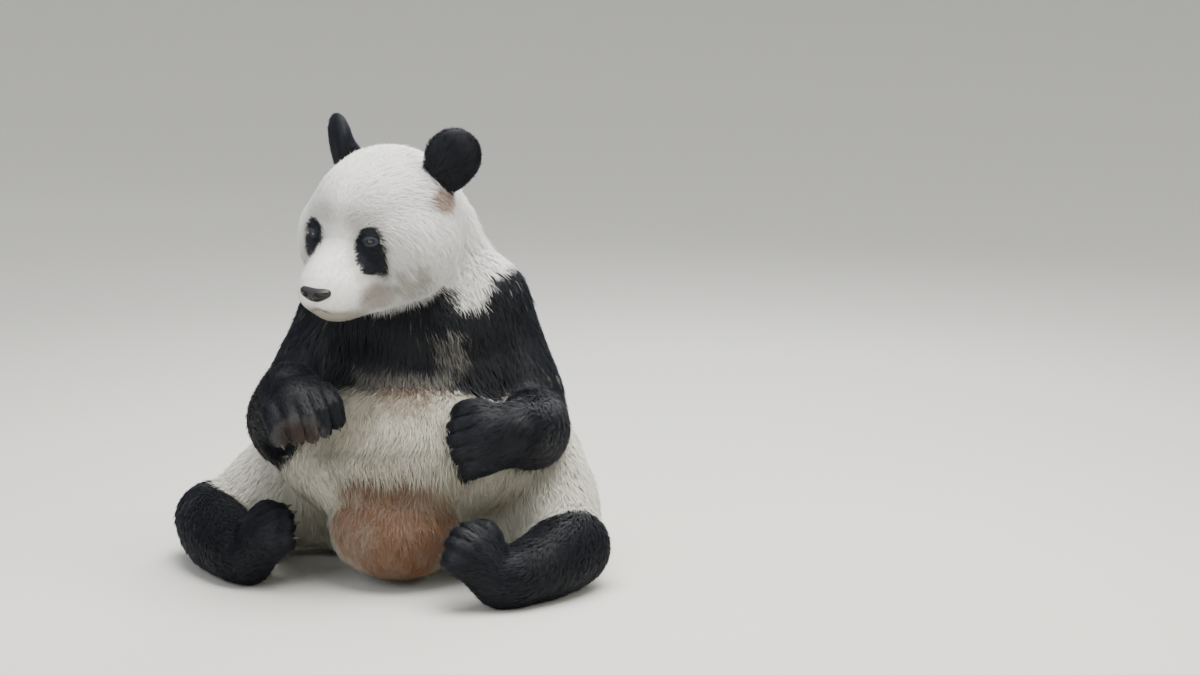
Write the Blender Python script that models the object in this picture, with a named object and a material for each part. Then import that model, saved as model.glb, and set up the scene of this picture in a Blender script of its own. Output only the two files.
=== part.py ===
"""Giant panda sitting on its rump, life size, as a set of closed solids.

The animal faces -Y with its own left side at +X, and the floor is z = 0. Every solid is the outside of the coat,
out to the tips of the hair. Soft forms (balls and tapering limbs) are fused by a voxel remesh, smoothed, and
then parted into named pieces: a piece is what its own forms hold, and its neighbour is cut back by a thin gap.
"""

import math

import bmesh
import bpy
from mathutils import Matrix, Vector

# Driving dimensions, in metres.
GAP = 0.0004  # between pieces that meet
FLOOR = 0.0
HEAD_CENTRE = Vector((-0.042, -0.128, 0.715))
HEAD_YAW = math.radians(-24)  # the face is turned to the animal's right
HEAD_PITCH = math.radians(11)  # bent down
HEAD_ROLL = math.radians(3)  # and tipped to one side
HEAD_HALF_WIDTH = 0.169
EYE_RADIUS = 0.0125
EYE_PLACE = Vector((0.0615, -0.1170, 0.0120))  # in the head's own frame, the left one
EAR_RADIUS = 0.060
EAR_THICK = 0.024
EAR_PLACE = Vector((0.136, 0.075, 0.132))
EAR_TURN = math.radians(38)  # each ear faces forward and outward
NOSE_HALF_WIDTH = 0.0355
CLAW_LENGTH = 0.036
CLAW_RADIUS = 0.0095
DIGITS = 5
SIDES = {"left": 1, "right": -1}

# Materials: name, colour, roughness.
WHITE_COAT = ("white_coat", (0.80, 0.77, 0.69), 0.90)
CREAM_COAT = ("cream_coat", (0.62, 0.57, 0.46), 0.92)
BLACK_COAT = ("black_coat", (0.022, 0.024, 0.030), 0.80)
NOSE_SKIN = ("nose_skin", (0.018, 0.017, 0.019), 0.38)
EYE_GLOSS = ("eye", (0.020, 0.012, 0.008), 0.06)

# How each stock is fused: (voxel edge, smoothing passes, triangles kept).
TRUNK_STOCK = (0.011, 16, 1180)
LIMB_STOCK = (0.0075, 4, 140)
HEAD_STOCK = (0.0065, 6, 930)
EAR_STOCK = (0.0040, 4, 120)
NOSE_STOCK = (0.0028, 2, 90)
PAW_STOCK = (0.0045, 3, 280)
REGION_STOCK = (0.0080, 2, 70)  # the hidden faces where two pieces meet

for old in list(bpy.data.objects):
    bpy.data.objects.remove(old)
scene = bpy.context.scene
made_materials = {}


def material(spec):
    """One Principled material for each finish."""
    name, colour, roughness = spec
    if name not in made_materials:
        made = bpy.data.materials.new(name)
        made.use_nodes = True
        shader = made.node_tree.nodes["Principled BSDF"]
        shader.inputs["Base Color"].default_value = (*colour, 1)
        shader.inputs["Roughness"].default_value = roughness
        shader.inputs["Metallic"].default_value = 0
        made_materials[name] = made
    return made_materials[name]


# Forms. A form is a closed mesh; several overlapping forms make one stock.


def ball(centre, radii, turn=None, fineness=4):
    """An ellipsoid: a round ball stretched to its three half sizes, turned, and put in place."""
    form = bmesh.new()
    if isinstance(radii, float):
        radii = (radii, radii, radii)
    place = Matrix.Translation(centre) @ (turn or Matrix()) @ Matrix.Diagonal((*radii, 1))
    bmesh.ops.create_icosphere(form, subdivisions=fineness, radius=1, matrix=place)
    return form


def ball_mesh(spec):
    """The same ellipsoid as a mesh, for parting."""
    form = ball(*spec, fineness=3)
    mesh = bpy.data.meshes.new("region")
    form.to_mesh(mesh)
    form.free()
    return mesh


def limb(joints, sides=24):
    """A round limb through (x, y, z, radius) joints: a bevelled curve with a ball at each end."""
    line = bpy.data.curves.new("limb", "CURVE")
    line.dimensions = "3D"
    line.bevel_depth = 1
    line.bevel_resolution = max(0, sides // 4 - 1)
    line.use_fill_caps = True
    line.resolution_u = 8
    spline = line.splines.new("BEZIER")
    spline.bezier_points.add(len(joints) - 1)
    for point, (x, y, z, radius) in zip(spline.bezier_points, joints):
        point.co = (x, y, z)
        point.radius = radius
        point.handle_left_type = point.handle_right_type = "AUTO"
    guide = bpy.data.objects.new("limb", line)
    scene.collection.objects.link(guide)
    form = bmesh.new()
    mesh = bpy.data.meshes.new_from_object(guide.evaluated_get(bpy.context.evaluated_depsgraph_get()))
    form.from_mesh(mesh)
    bpy.data.objects.remove(guide)
    bmesh.ops.remove_doubles(form, verts=form.verts, dist=1e-6)
    bmesh.ops.recalc_face_normals(form, faces=form.faces)
    for end in (joints[0], joints[-1]):
        add_form(form, ball(end[:3], float(end[3])))
    return form


def add_form(stock, form):
    """Adds one form to a stock and frees it."""
    mesh = bpy.data.meshes.new("form")
    form.to_mesh(mesh)
    form.free()
    stock.from_mesh(mesh)
    bpy.data.meshes.remove(mesh)


def put(form, place):
    """The form moved by a matrix."""
    form.transform(place)
    return form


def evaluated(obj):
    """The object's mesh with its modifiers, as a new mesh; the object is removed."""
    bpy.context.view_layer.update()
    graph = bpy.context.evaluated_depsgraph_get()
    mesh = bpy.data.meshes.new_from_object(obj.evaluated_get(graph), depsgraph=graph)
    bpy.data.objects.remove(obj)
    return mesh


def as_object(mesh, name="stock"):
    obj = bpy.data.objects.new(name, mesh)
    scene.collection.objects.link(obj)
    return obj


def fused(forms, stock):
    """One smooth closed skin round all the forms."""
    voxel, passes, triangles = stock
    joined = bmesh.new()
    for form in forms:
        add_form(joined, form)
    mesh = bpy.data.meshes.new("fused")
    joined.to_mesh(mesh)
    joined.free()
    obj = as_object(mesh)
    remesh = obj.modifiers.new("fuse", "REMESH")
    remesh.mode = "VOXEL"
    remesh.voxel_size = voxel
    smooth = obj.modifiers.new("soften", "SMOOTH")
    smooth.factor = 0.5
    smooth.iterations = passes
    fine = largest(evaluated(obj))
    coarse = as_object(fine)
    thin = coarse.modifiers.new("thin", "DECIMATE")
    thin.ratio = triangles / (2 * len(fine.polygons))
    thin.use_collapse_triangulate = True
    return evaluated(coarse)


def largest(mesh):
    """The mesh with only its biggest connected shell."""
    work = bmesh.new()
    work.from_mesh(mesh)
    left = set(work.verts)
    shells = []
    while left:
        shell = {left.pop()}
        front = list(shell)
        while front:
            near = {e.other_vert(v) for v in front for e in v.link_edges} - shell
            shell |= near
            front = list(near)
        left -= shell
        shells.append(shell)
    keep = max(shells, key=len)
    bmesh.ops.delete(work, geom=[v for v in work.verts if v not in keep], context="VERTS")
    work.to_mesh(mesh)
    work.free()
    return mesh


def grown(mesh, by):
    """A copy of a closed mesh with every point moved out, so that each face moves out by this much."""
    work = bmesh.new()
    work.from_mesh(mesh)
    work.normal_update()
    moves = [(v, v.normal * min(v.calc_shell_factor(), 2)) for v in work.verts]
    for vert, move in moves:
        vert.co += move * by
    copy = bpy.data.meshes.new("grown")
    work.to_mesh(copy)
    work.free()
    return copy


def boolean(mesh, other, operation):
    """A new mesh: the first joined with, cut by or kept inside the second."""
    obj = as_object(mesh.copy())
    cutter = as_object(other.copy(), "cutter")
    cutter.hide_render = True
    cutter.display_type = "WIRE"
    step = obj.modifiers.new("step", "BOOLEAN")
    step.operation = operation
    step.solver = "EXACT"
    step.object = cutter
    made = evaluated(obj)
    bpy.data.objects.remove(cutter)
    return made


def parted(whole, region):
    """(the piece of the whole inside the region, the rest, cut back by the gap)."""
    piece = boolean(whole, region, "INTERSECT")
    rest = boolean(whole, grown(region, GAP), "DIFFERENCE")
    return largest(piece), largest(rest)


def cut_by(mesh, *others):
    """The mesh with its neighbours' space, and the gap round them, taken out."""
    for other in others:
        mesh = boolean(mesh, grown(other, GAP), "DIFFERENCE")
    return largest(mesh)


def standing(mesh):
    """The mesh cut flat at the floor."""
    work = bmesh.new()
    work.from_mesh(mesh)
    geometry = work.verts[:] + work.edges[:] + work.faces[:]
    cut = bmesh.ops.bisect_plane(
        work, geom=geometry, dist=1e-6, plane_co=(0, 0, FLOOR), plane_no=(0, 0, -1), clear_outer=True
    )
    rim = [e for e in cut["geom_cut"] if isinstance(e, bmesh.types.BMEdge)]
    if rim:
        bmesh.ops.holes_fill(work, edges=rim)
        for vert in work.verts:
            if abs(vert.co.z - FLOOR) < 1e-5:
                vert.co.z = FLOOR
    work.to_mesh(mesh)
    work.free()
    return mesh


def node(name, mesh, finish):
    """Names a finished piece and gives it its material."""
    work = bmesh.new()
    work.from_mesh(mesh)
    bmesh.ops.remove_doubles(work, verts=work.verts, dist=2e-5)
    bmesh.ops.triangulate(work, faces=work.faces)
    work.to_mesh(mesh)
    work.free()
    mesh.materials.clear()
    mesh.materials.append(material(finish))
    mesh.shade_smooth()
    mesh.set_sharp_from_angle(angle=math.radians(50))
    return as_object(mesh, name)


def frame_at(origin, distal, dorsal):
    """A paw's own frame: +Y runs to the claws, +Z to the back of the paw, and +X across it."""
    along = Vector(distal).normalized()
    across = along.cross(Vector(dorsal)).normalized()
    up = across.cross(along)
    turn = Matrix((across, along, up)).transposed().to_4x4()
    return Matrix.Translation(origin) @ turn


# Trunk, neck and tail. The sitting animal is a pear: wide haunches, a hanging belly, a narrow hunched chest.

NECK_LINE = [
    (0.004, 0.070, 0.520, 0.155),
    (0.006, 0.045, 0.610, 0.142),
    (-0.006, 0.000, 0.685, 0.130),
    (-0.026, -0.060, 0.710, 0.120),
]
TAIL_LINE = [(0.0, 0.250, 0.070, 0.055), (0.0, 0.310, 0.045, 0.050), (0.0, 0.345, 0.036, 0.038)]


REGION_MARGIN = 0.008  # a limb's region stands out past its own skin
# Where the trunk is parted: the white neck lies inside the first ball, and the black chest inside the second.
COLLAR = ((0.000, 0.030, 0.725), (0.300, 0.300, 0.160))
BAND = ((0.000, 0.040, 0.620), (0.400, 0.400, 0.215))


def trunk_forms():
    return [
        ball((0, 0.080, 0.180), (0.338, 0.245, 0.215)),  # rump, flat on the floor
        ball((0, -0.090, 0.250), (0.272, 0.218, 0.158)),  # belly
        ball((0, 0.045, 0.340), (0.260, 0.215, 0.215)),  # loins and ribs
        ball((0, 0.020, 0.480), (0.205, 0.175, 0.155)),  # chest
        ball((0, 0.080, 0.440), (0.185, 0.160, 0.185)),  # hunched back
        ball((0, -0.190, 0.112), (0.140, 0.120, 0.104)),  # groin
    ]


# Limbs, joint by joint. The legs are splayed flat, the right one further than the left; the arms are bent, with
# the paws before the belly.

LEGS = {
    "left": {
        "haunch": [(0.150, 0.060, 0.180, 0.168), (0.240, -0.020, 0.145, 0.138), (0.300, -0.100, 0.108, 0.100)],
        "shank": [(0.345, -0.165, 0.080, 0.083), (0.312, -0.250, 0.068, 0.074), (0.262, -0.322, 0.058, 0.062)],
        "heel": (0.234, -0.346, 0.052),
        "distal": (-0.50, -0.16, 0.72),
        "dorsal": (0.42, -0.55, 0.35),
    },
    "right": {
        "haunch": [(-0.150, 0.070, 0.180, 0.168), (-0.265, 0.030, 0.140, 0.130), (-0.350, 0.000, 0.102, 0.094)],
        "shank": [(-0.425, -0.030, 0.080, 0.082), (-0.385, -0.130, 0.070, 0.076), (-0.325, -0.215, 0.060, 0.064)],
        "heel": (-0.292, -0.246, 0.052),
        "distal": (0.50, -0.16, 0.72),
        "dorsal": (-0.42, -0.55, 0.35),
    },
}
ARMS = {
    "left": {
        "upper": [(0.125, 0.030, 0.530, 0.104), (0.176, 0.030, 0.440, 0.092), (0.226, 0.000, 0.355, 0.083)],
        "fore": [(0.240, -0.020, 0.312, 0.080), (0.260, -0.120, 0.302, 0.078), (0.252, -0.232, 0.322, 0.064)],
        "distal": (-0.93, -0.35, -0.05),
        "dorsal": (-0.25, -0.90, 0.30),
    },
    "right": {
        "upper": [(-0.125, 0.020, 0.530, 0.104), (-0.184, -0.010, 0.436, 0.090), (-0.238, -0.060, 0.335, 0.081)],
        "fore": [(-0.240, -0.095, 0.290, 0.083), (-0.224, -0.190, 0.335, 0.080), (-0.194, -0.278, 0.405, 0.060)],
        "distal": (0.50, -0.82, -0.22),
        "dorsal": (-0.05, -0.35, 0.90),
    },
}


def shoulders():
    """The slope from the neck to each arm."""
    return [limb([(0.06 * s, 0.06, 0.585, 0.095), (0.135 * s, 0.03, 0.535, 0.098)]) for s in (1, -1)]


# Paws. Each has a palm, five curled digits, and five claws joined to it.

FORE_PALM = ((0, 0.046, 0.0), (0.065, 0.066, 0.050))
FORE_DIGIT = {"pitch": 0.0275, "base": 0.085, "reach": 0.042, "curl": 0.036, "radius": 0.0225}
HIND_PALM = ((0, 0.050, 0.0), (0.058, 0.072, 0.044))
HIND_DIGIT = {"pitch": 0.0240, "base": 0.092, "reach": 0.028, "curl": 0.014, "radius": 0.0200}
HEEL_RADIUS = 0.052


def digit_lines(size):
    """The centre line of each digit in the paw's frame; the middle ones reach furthest."""
    lines = []
    for k in range(DIGITS):
        offset = k - (DIGITS - 1) / 2
        x = offset * size["pitch"]
        base = size["base"] - 0.004 * offset**2
        reach = size["reach"] - 0.002 * offset**2
        radius = size["radius"]
        lines.append([
            (x, base, 0.004, radius),
            (x * 1.08, base + reach * 0.75, -size["curl"] * 0.25, radius * 0.97),
            (x * 1.05, base + reach, -size["curl"], radius * 0.88),
        ])
    return lines


def paw_stock(palm, size, place, wrist):
    """The fused paw, with the end of the limb that carries it."""
    forms = [put(ball(*palm), place), wrist]
    forms += [put(limb(line, 16), place) for line in digit_lines(size)]
    return fused(forms, PAW_STOCK)


def claw(line, place):
    """A curved cone from inside the last joint of a digit."""
    x, y, z, _ = line[-1]
    steps = 2
    joints = []
    for k in range(steps + 1):
        t = k / steps
        joints.append((x, y + CLAW_LENGTH * t * 0.8, z - CLAW_LENGTH * t * (0.20 + 0.60 * t), t))
    form = bmesh.new()
    rings = []
    sides = 5
    for px, py, pz, t in joints:
        radius = CLAW_RADIUS * (1 - 0.65 * t)
        ring = []
        for k in range(sides):
            angle = 2 * math.pi * k / sides
            ring.append(form.verts.new((px + radius * 0.75 * math.cos(angle), py, pz + radius * math.sin(angle))))
        rings.append(ring)
    for low, high in zip(rings, rings[1:]):
        for k in range(sides):
            form.faces.new((low[k], low[(k + 1) % sides], high[(k + 1) % sides], high[k]))
    form.faces.new(rings[0][::-1])
    form.faces.new(rings[-1])
    bmesh.ops.recalc_face_normals(form, faces=form.faces)
    mesh = bpy.data.meshes.new("claw")
    put(form, place).to_mesh(mesh)
    form.free()
    return mesh


def with_claws(mesh, size, place):
    for line in digit_lines(size):
        mesh = boolean(mesh, claw(line, place), "UNION")
    return mesh


# Head, in its own frame: the face looks along -Y, and the origin is the middle of the skull.

HEAD_TURN = (
    Matrix.Rotation(HEAD_YAW, 4, "Z") @ Matrix.Rotation(HEAD_PITCH, 4, "X") @ Matrix.Rotation(HEAD_ROLL, 4, "Y")
)
HEAD_FRAME = Matrix.Translation(HEAD_CENTRE) @ HEAD_TURN


def skull_forms():
    cheek_radius = 0.090
    cheek = HEAD_HALF_WIDTH - cheek_radius
    forms = [
        ball((0, 0.030, 0.018), (0.137, 0.138, 0.130)),  # braincase
        ball((0, -0.038, 0.050), (0.103, 0.084, 0.085)),  # forehead
        ball((0, -0.074, -0.008), (0.110, 0.062, 0.073)),  # face between the eyes and under them
        ball((0, -0.125, -0.054), (0.078, 0.070, 0.060)),  # root of the muzzle
        ball((0, -0.174, -0.069), (0.058, 0.049, 0.045)),  # its end
    ]
    for s in (1, -1):
        forms.append(ball((cheek * s, -0.012, -0.036), (cheek_radius, 0.104, 0.098)))
        forms.append(ball((0.026 * s, -0.174, -0.088), (0.036, 0.042, 0.030)))  # upper lip
    return [put(form, HEAD_FRAME) for form in forms]


def jaw_forms():
    forms = [
        ball((0, -0.150, -0.117), (0.042, 0.045, 0.027)),  # chin
        ball((0, -0.070, -0.110), (0.088, 0.095, 0.042)),
    ]
    return [put(form, HEAD_FRAME) for form in forms]


def jaw_region():
    """Everything under the line of the mouth, back to the corner of the jaw."""
    mesh = ball_mesh(((0, -0.080, -0.170), (0.125, 0.150, 0.076)))
    mesh.transform(HEAD_FRAME)
    return mesh


def ear_forms(side):
    """A round cup of fur: a disc leaning out from the corner of the skull, with a stalk into the head."""
    turn = Matrix.Rotation(EAR_TURN * side, 4, "Z") @ Matrix.Rotation(math.radians(24) * side, 4, "Y")
    x, y, z = EAR_PLACE
    centre = Vector((x * side, y, z))
    disc = ball(centre, (EAR_RADIUS, EAR_THICK, EAR_RADIUS * 1.08), turn)
    stalk = ball(centre - Vector((0.022 * side, 0, 0.036)), (0.044, 0.028, 0.044), turn)
    return [put(form, HEAD_FRAME) for form in (disc, stalk)]


def nose_forms():
    pad = ball((0, -0.2190, -0.0660), (NOSE_HALF_WIDTH, 0.0210, 0.0165))
    base = ball((0, -0.2160, -0.0770), (0.0190, 0.0190, 0.0150))
    return [put(form, HEAD_FRAME) for form in (pad, base)]


def eye_mesh(side):
    x, y, z = EYE_PLACE
    mesh = bpy.data.meshes.new("eye")
    form = bmesh.new()
    bmesh.ops.create_icosphere(form, subdivisions=2, radius=EYE_RADIUS)
    put(form, HEAD_FRAME @ Matrix.Translation((x * side, y, z))).to_mesh(mesh)
    form.free()
    return mesh


# Assembly: the head first, then the body round it, then the far limbs round the body.

nose = fused(nose_forms(), NOSE_STOCK)
eyes = {name: eye_mesh(side) for name, side in SIDES.items()}
skull = fused(skull_forms() + jaw_forms(), HEAD_STOCK)
head_outline = skull
skull = cut_by(skull, nose, *eyes.values())
jaw, head = parted(skull, jaw_region())
ears = {}
for name, side in SIDES.items():
    ears[name] = cut_by(fused(ear_forms(side), EAR_STOCK), head_outline)
node("nose", nose, NOSE_SKIN)
node("head", head, WHITE_COAT)
node("lower_jaw", jaw, WHITE_COAT)
for name in SIDES:
    node(f"eye_{name}", eyes[name], EYE_GLOSS)
    node(f"ear_{name}", ears[name], BLACK_COAT)

core_forms = trunk_forms() + shoulders() + [limb(NECK_LINE), limb(TAIL_LINE)]
for name in SIDES:
    core_forms += [limb(ARMS[name]["upper"]), limb(LEGS[name]["haunch"])]
core = cut_by(fused(core_forms, TRUNK_STOCK), head_outline)
core = standing(core)
core_outline = core.copy()

neck, core = parted(core, ball_mesh(COLLAR))
tail, core = parted(core, grown(fused([limb(TAIL_LINE[1:])], REGION_STOCK), REGION_MARGIN))
node("neck", neck, WHITE_COAT)
node("tail", tail, WHITE_COAT)
for name in SIDES:
    upper, core = parted(core, grown(fused([limb(ARMS[name]["upper"])], REGION_STOCK), REGION_MARGIN))
    thigh, core = parted(core, grown(fused([limb(LEGS[name]["haunch"][1:])], REGION_STOCK), REGION_MARGIN))
    node(f"upper_arm_{name}", upper, BLACK_COAT)
    node(f"thigh_{name}", thigh, CREAM_COAT)
chest, belly = parted(core, ball_mesh(BAND))
node("chest", chest, BLACK_COAT)
node("belly_and_rump", belly, CREAM_COAT)

for name in SIDES:
    arm = ARMS[name]
    wrist = arm["fore"][-1]
    place = frame_at(wrist[:3], arm["distal"], arm["dorsal"])
    paw = paw_stock(FORE_PALM, FORE_DIGIT, place, ball(wrist[:3], wrist[3]))
    paw = cut_by(with_claws(paw, FORE_DIGIT, place), core_outline, head_outline)
    fore = cut_by(fused([limb(arm["fore"])], LIMB_STOCK), core_outline, paw)
    node(f"forearm_{name}", fore, BLACK_COAT)
    node(f"forepaw_{name}", paw, BLACK_COAT)

    leg = LEGS[name]
    place = frame_at(leg["heel"], leg["distal"], leg["dorsal"])
    foot = paw_stock(HIND_PALM, HIND_DIGIT, place, ball(leg["heel"], HEEL_RADIUS))
    foot = standing(cut_by(with_claws(foot, HIND_DIGIT, place), core_outline))
    shank = standing(cut_by(fused([limb(leg["shank"])], LIMB_STOCK), core_outline, foot))
    node(f"shank_{name}", shank, BLACK_COAT)
    node(f"hind_paw_{name}", foot, BLACK_COAT)
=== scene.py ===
"""Giant panda sitting on its rump, as a still, life-size museum model: skin, coat, eyes, nose and claws.

The animal faces -Y, its own left side is at +X, and it sits on the floor at z = 0. Lengths are in metres.
One skin covers the whole body, and solid tufts of hair grow from it.
"""

import math

import bmesh
import bpy
import numpy as np
from mathutils import Matrix, Vector


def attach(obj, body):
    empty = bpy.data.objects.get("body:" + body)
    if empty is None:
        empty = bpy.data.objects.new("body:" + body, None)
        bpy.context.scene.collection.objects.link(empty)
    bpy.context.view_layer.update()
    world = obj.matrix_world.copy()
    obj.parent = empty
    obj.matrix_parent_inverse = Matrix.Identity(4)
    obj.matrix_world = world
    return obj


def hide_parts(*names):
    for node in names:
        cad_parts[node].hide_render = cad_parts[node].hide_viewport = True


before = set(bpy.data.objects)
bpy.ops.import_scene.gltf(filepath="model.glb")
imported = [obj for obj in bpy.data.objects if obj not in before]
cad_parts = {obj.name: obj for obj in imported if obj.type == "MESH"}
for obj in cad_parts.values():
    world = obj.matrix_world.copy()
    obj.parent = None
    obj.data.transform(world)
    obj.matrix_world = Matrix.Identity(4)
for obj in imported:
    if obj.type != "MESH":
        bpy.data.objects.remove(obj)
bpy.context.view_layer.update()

# The set: a pale matt floor, a broad soft lamp overhead, fills from the front and the side, and a weak rim
# from behind. The camera stands low, a little to the animal's left, and leaves room on that side.

VIEW_AZIMUTH, VIEW_ELEVATION, VIEW_DISTANCE = math.radians(12), math.radians(10), 5.5
VIEW_CENTRE = np.array([0.0, 0.0, 0.45])
VIEW_ASIDE, VIEW_ABOVE, VIEW_LENS = 0.379, 0.012, 80.5


def linear(hex_text):
    """An sRGB hex colour as linear red, green, blue and alpha 1."""
    values = [int(hex_text[i:i + 2], 16) / 255 for i in (1, 3, 5)]
    return [v / 12.92 if v <= 0.04045 else ((v + 0.055) / 1.055) ** 2.4 for v in values] + [1.0]


def add_node(tree, kind, inputs=None, **settings):
    """Adds a shader node: settings are its properties, inputs are values or sockets to link."""
    made = tree.nodes.new(kind)
    for name, value in settings.items():
        setattr(made, name, value)
    for socket, value in (inputs or {}).items():
        if isinstance(value, bpy.types.NodeSocket):
            tree.links.new(value, made.inputs[socket])
        else:
            made.inputs[socket].default_value = value
    return made


def new_material(name, **constants):
    """A Principled material with constant sockets set; returns it with its tree and its shader."""
    made = bpy.data.materials.new(name)
    made.use_nodes = True
    shader = made.node_tree.nodes["Principled BSDF"]
    for socket, value in constants.items():
        shader.inputs[socket.replace("_", " ")].default_value = value
    return made, made.node_tree, shader


def aim(obj, position, target):
    """Puts a camera or lamp at a position, looking at a target, upright."""
    back = (Vector(position) - Vector(target)).normalized()
    side = Vector((0, 0, 1)).cross(back).normalized()
    turn = Matrix((side, back.cross(side), back)).transposed().to_4x4()
    obj.matrix_world = Matrix.Translation(position) @ turn


back = np.array([
    math.sin(VIEW_AZIMUTH) * math.cos(VIEW_ELEVATION),
    -math.cos(VIEW_AZIMUTH) * math.cos(VIEW_ELEVATION),
    math.sin(VIEW_ELEVATION),
])
aside = np.array([math.cos(VIEW_AZIMUTH), math.sin(VIEW_AZIMUTH), 0.0])
above = np.cross(back, aside)
camera = bpy.data.objects.new("camera", bpy.data.cameras.new("camera"))
camera.data.lens = VIEW_LENS
camera.data.sensor_width = 36
bpy.context.scene.collection.objects.link(camera)
aim(camera, VIEW_CENTRE + back * VIEW_DISTANCE, VIEW_CENTRE + aside * VIEW_ASIDE + above * VIEW_ABOVE)
bpy.context.scene.camera = camera

LAMPS = {  # position, width, watts, colour
    "overhead": ((0.5, -0.4, 3.4), 2.8, 262, "#fffcf6"),
    "front": ((-1.9, -3.4, 2.0), 2.6, 74, "#f6f9ff"),
    "side": ((3.2, -1.4, 1.8), 1.8, 36, "#fffaf2"),
    "rim": ((0.6, 2.8, 2.4), 1.8, 60, "#ffffff"),
}
for name, (position, width, watts, tint) in LAMPS.items():
    lamp = bpy.data.lights.new(name, "AREA")
    lamp.size = width
    lamp.energy = watts
    lamp.color = linear(tint)[:3]
    holder = bpy.data.objects.new(name, lamp)
    bpy.context.scene.collection.objects.link(holder)
    holder.visible_camera = False
    aim(holder, position, (0, 0, 0.4))
world = bpy.data.worlds.new("studio")
world.use_nodes = True
world.node_tree.nodes["Background"].inputs["Color"].default_value = linear("#e9edf1")
world.node_tree.nodes["Background"].inputs["Strength"].default_value = 0.60
bpy.context.scene.world = world

# A seamless matt studio floor, such as painted board, that sweeps up far away all round.
floor_paint, tree, shader = new_material("matt_floor_paint", Roughness=0.85)
shader.inputs["Base Color"].default_value = linear("#dddcd7")
FLOOR_FLAT, FLOOR_SWEEP, FLOOR_WALL = 3.4, 6.2, 2.0


def floor_mesh(around=96, along=12):
    """A profile turned about the vertical axis: flat to a radius, then a quarter circle, then a wall."""
    bend = np.linspace(0, math.pi / 2, along)
    wall = FLOOR_FLAT + FLOOR_SWEEP
    radius = np.concatenate([[FLOOR_FLAT * 0.5], FLOOR_FLAT + FLOOR_SWEEP * np.sin(bend), [wall]])
    rise = np.concatenate([[0], FLOOR_SWEEP * (1 - np.cos(bend)), [FLOOR_SWEEP + FLOOR_WALL]])
    angle = np.linspace(0, 2 * math.pi, around, endpoint=False)[:, None]
    ring = np.stack([radius * np.cos(angle), radius * np.sin(angle), rise + 0 * angle], axis=-1)
    points = np.vstack([ring.reshape(-1, 3), [(0, 0, 0)]])
    k, j = np.divmod(np.arange(around * (len(radius) - 1)), len(radius) - 1)
    low, high = k * len(radius) + j, (k + 1) % around * len(radius) + j
    faces = np.stack([low, high, high + 1, low + 1], axis=1)[:, ::-1].tolist()
    k = np.arange(around)
    low, high = k * len(radius), (k + 1) % around * len(radius)
    faces += np.stack([low, high, 0 * k + len(points) - 1], axis=1).tolist()
    mesh = bpy.data.meshes.new("floor")
    mesh.from_pydata(points.tolist(), [], faces)
    mesh.shade_smooth()
    mesh.materials.append(floor_paint)
    return mesh


floor_object = bpy.data.objects.new("floor", floor_mesh())
bpy.context.scene.collection.objects.link(floor_object)

# The body's forms: flesh and bone as balls and tapering limbs, with the coat's outside as their surface.
# Each form also says how deep the coat lies over the skin there, how long its hair is, which way it lies, and
# which stretch of coat it belongs to. The trunk is a pear with a hanging belly and a hunched back.

SIDES = {"left": 1, "right": -1}
DARK_COATS = ("ear", "upper_arm", "forearm", "forepaw", "shank", "hind_paw", "pads")
TRUNK_COATS = ("neck", "chest", "back", "belly", "rump", "thigh", "upper_arm")
LIMB_STEPS = 10  # straight lengths that a limb's curve is cut into
groups = {}  # group name: {"soft": how widely its forms blend, "forms": [...]}


def add_group(name, soft):
    groups[name] = {"soft": soft, "forms": []}


def add_ball(group, coat, at, radii, depth, hair, lie, turn=None, bare=0.0):
    """An ellipsoid. lie is a direction, or ("from", point) for hair that runs away from a point."""
    turn = np.eye(3) if turn is None else turn
    at, radii = np.array(at, float), np.array(radii, float)
    half = np.abs(turn) @ radii
    groups[group]["forms"].append({
        "kind": "ball", "coat": coat, "at": at, "radii": radii, "turn": turn, "lie": lie,
        "values": (depth, hair, bare, coat in DARK_COATS, coat in TRUNK_COATS), "box": (at - half, at + half),
    })


def curve_through(joints, steps):
    """Points and radii on a smooth curve through the joints: cubic Hermite pieces with averaged tangents."""
    joints = np.array(joints, float)
    slopes = np.gradient(joints, axis=0)
    t = np.linspace(0, len(joints) - 1, steps + 1)
    k = np.minimum(t.astype(int), len(joints) - 2)
    s = (t - k)[:, None]
    p0, p1, m0, m1 = joints[k], joints[k + 1], slopes[k], slopes[k + 1]
    return (
        (2 * s**3 - 3 * s**2 + 1) * p0 + (s**3 - 2 * s**2 + s) * m0
        + (3 * s**2 - 2 * s**3) * p1 + (s**3 - s**2) * m1
    )


def run_of(joints):
    """The direction from a limb's first joint to its last."""
    return np.array(joints[-1][:3]) - np.array(joints[0][:3])


def add_limb(group, coat, joints, depth, hair, steps=LIMB_STEPS, bare=0.0, before=None, after=None):
    """A round limb through (x, y, z, radius) joints; its hair runs along it, and at its ends turns half way
    to the directions of the limbs before and after it."""
    line = curve_through(joints, steps)
    lies = np.gradient(line[:, :3], axis=0)
    lies /= np.linalg.norm(lies, axis=1, keepdims=True)
    for end, other in ((0, before), (-1, after)):
        if other is not None:
            lies[end] += np.array(other) / np.linalg.norm(other)
    half = line[:, 3:]
    groups[group]["forms"].append({
        "kind": "limb", "coat": coat, "line": line, "lies": lies,
        "values": (depth, hair, bare, coat in DARK_COATS, coat in TRUNK_COATS),
        "box": ((line[:, :3] - half).min(0), (line[:, :3] + half).max(0)),
    })


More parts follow.
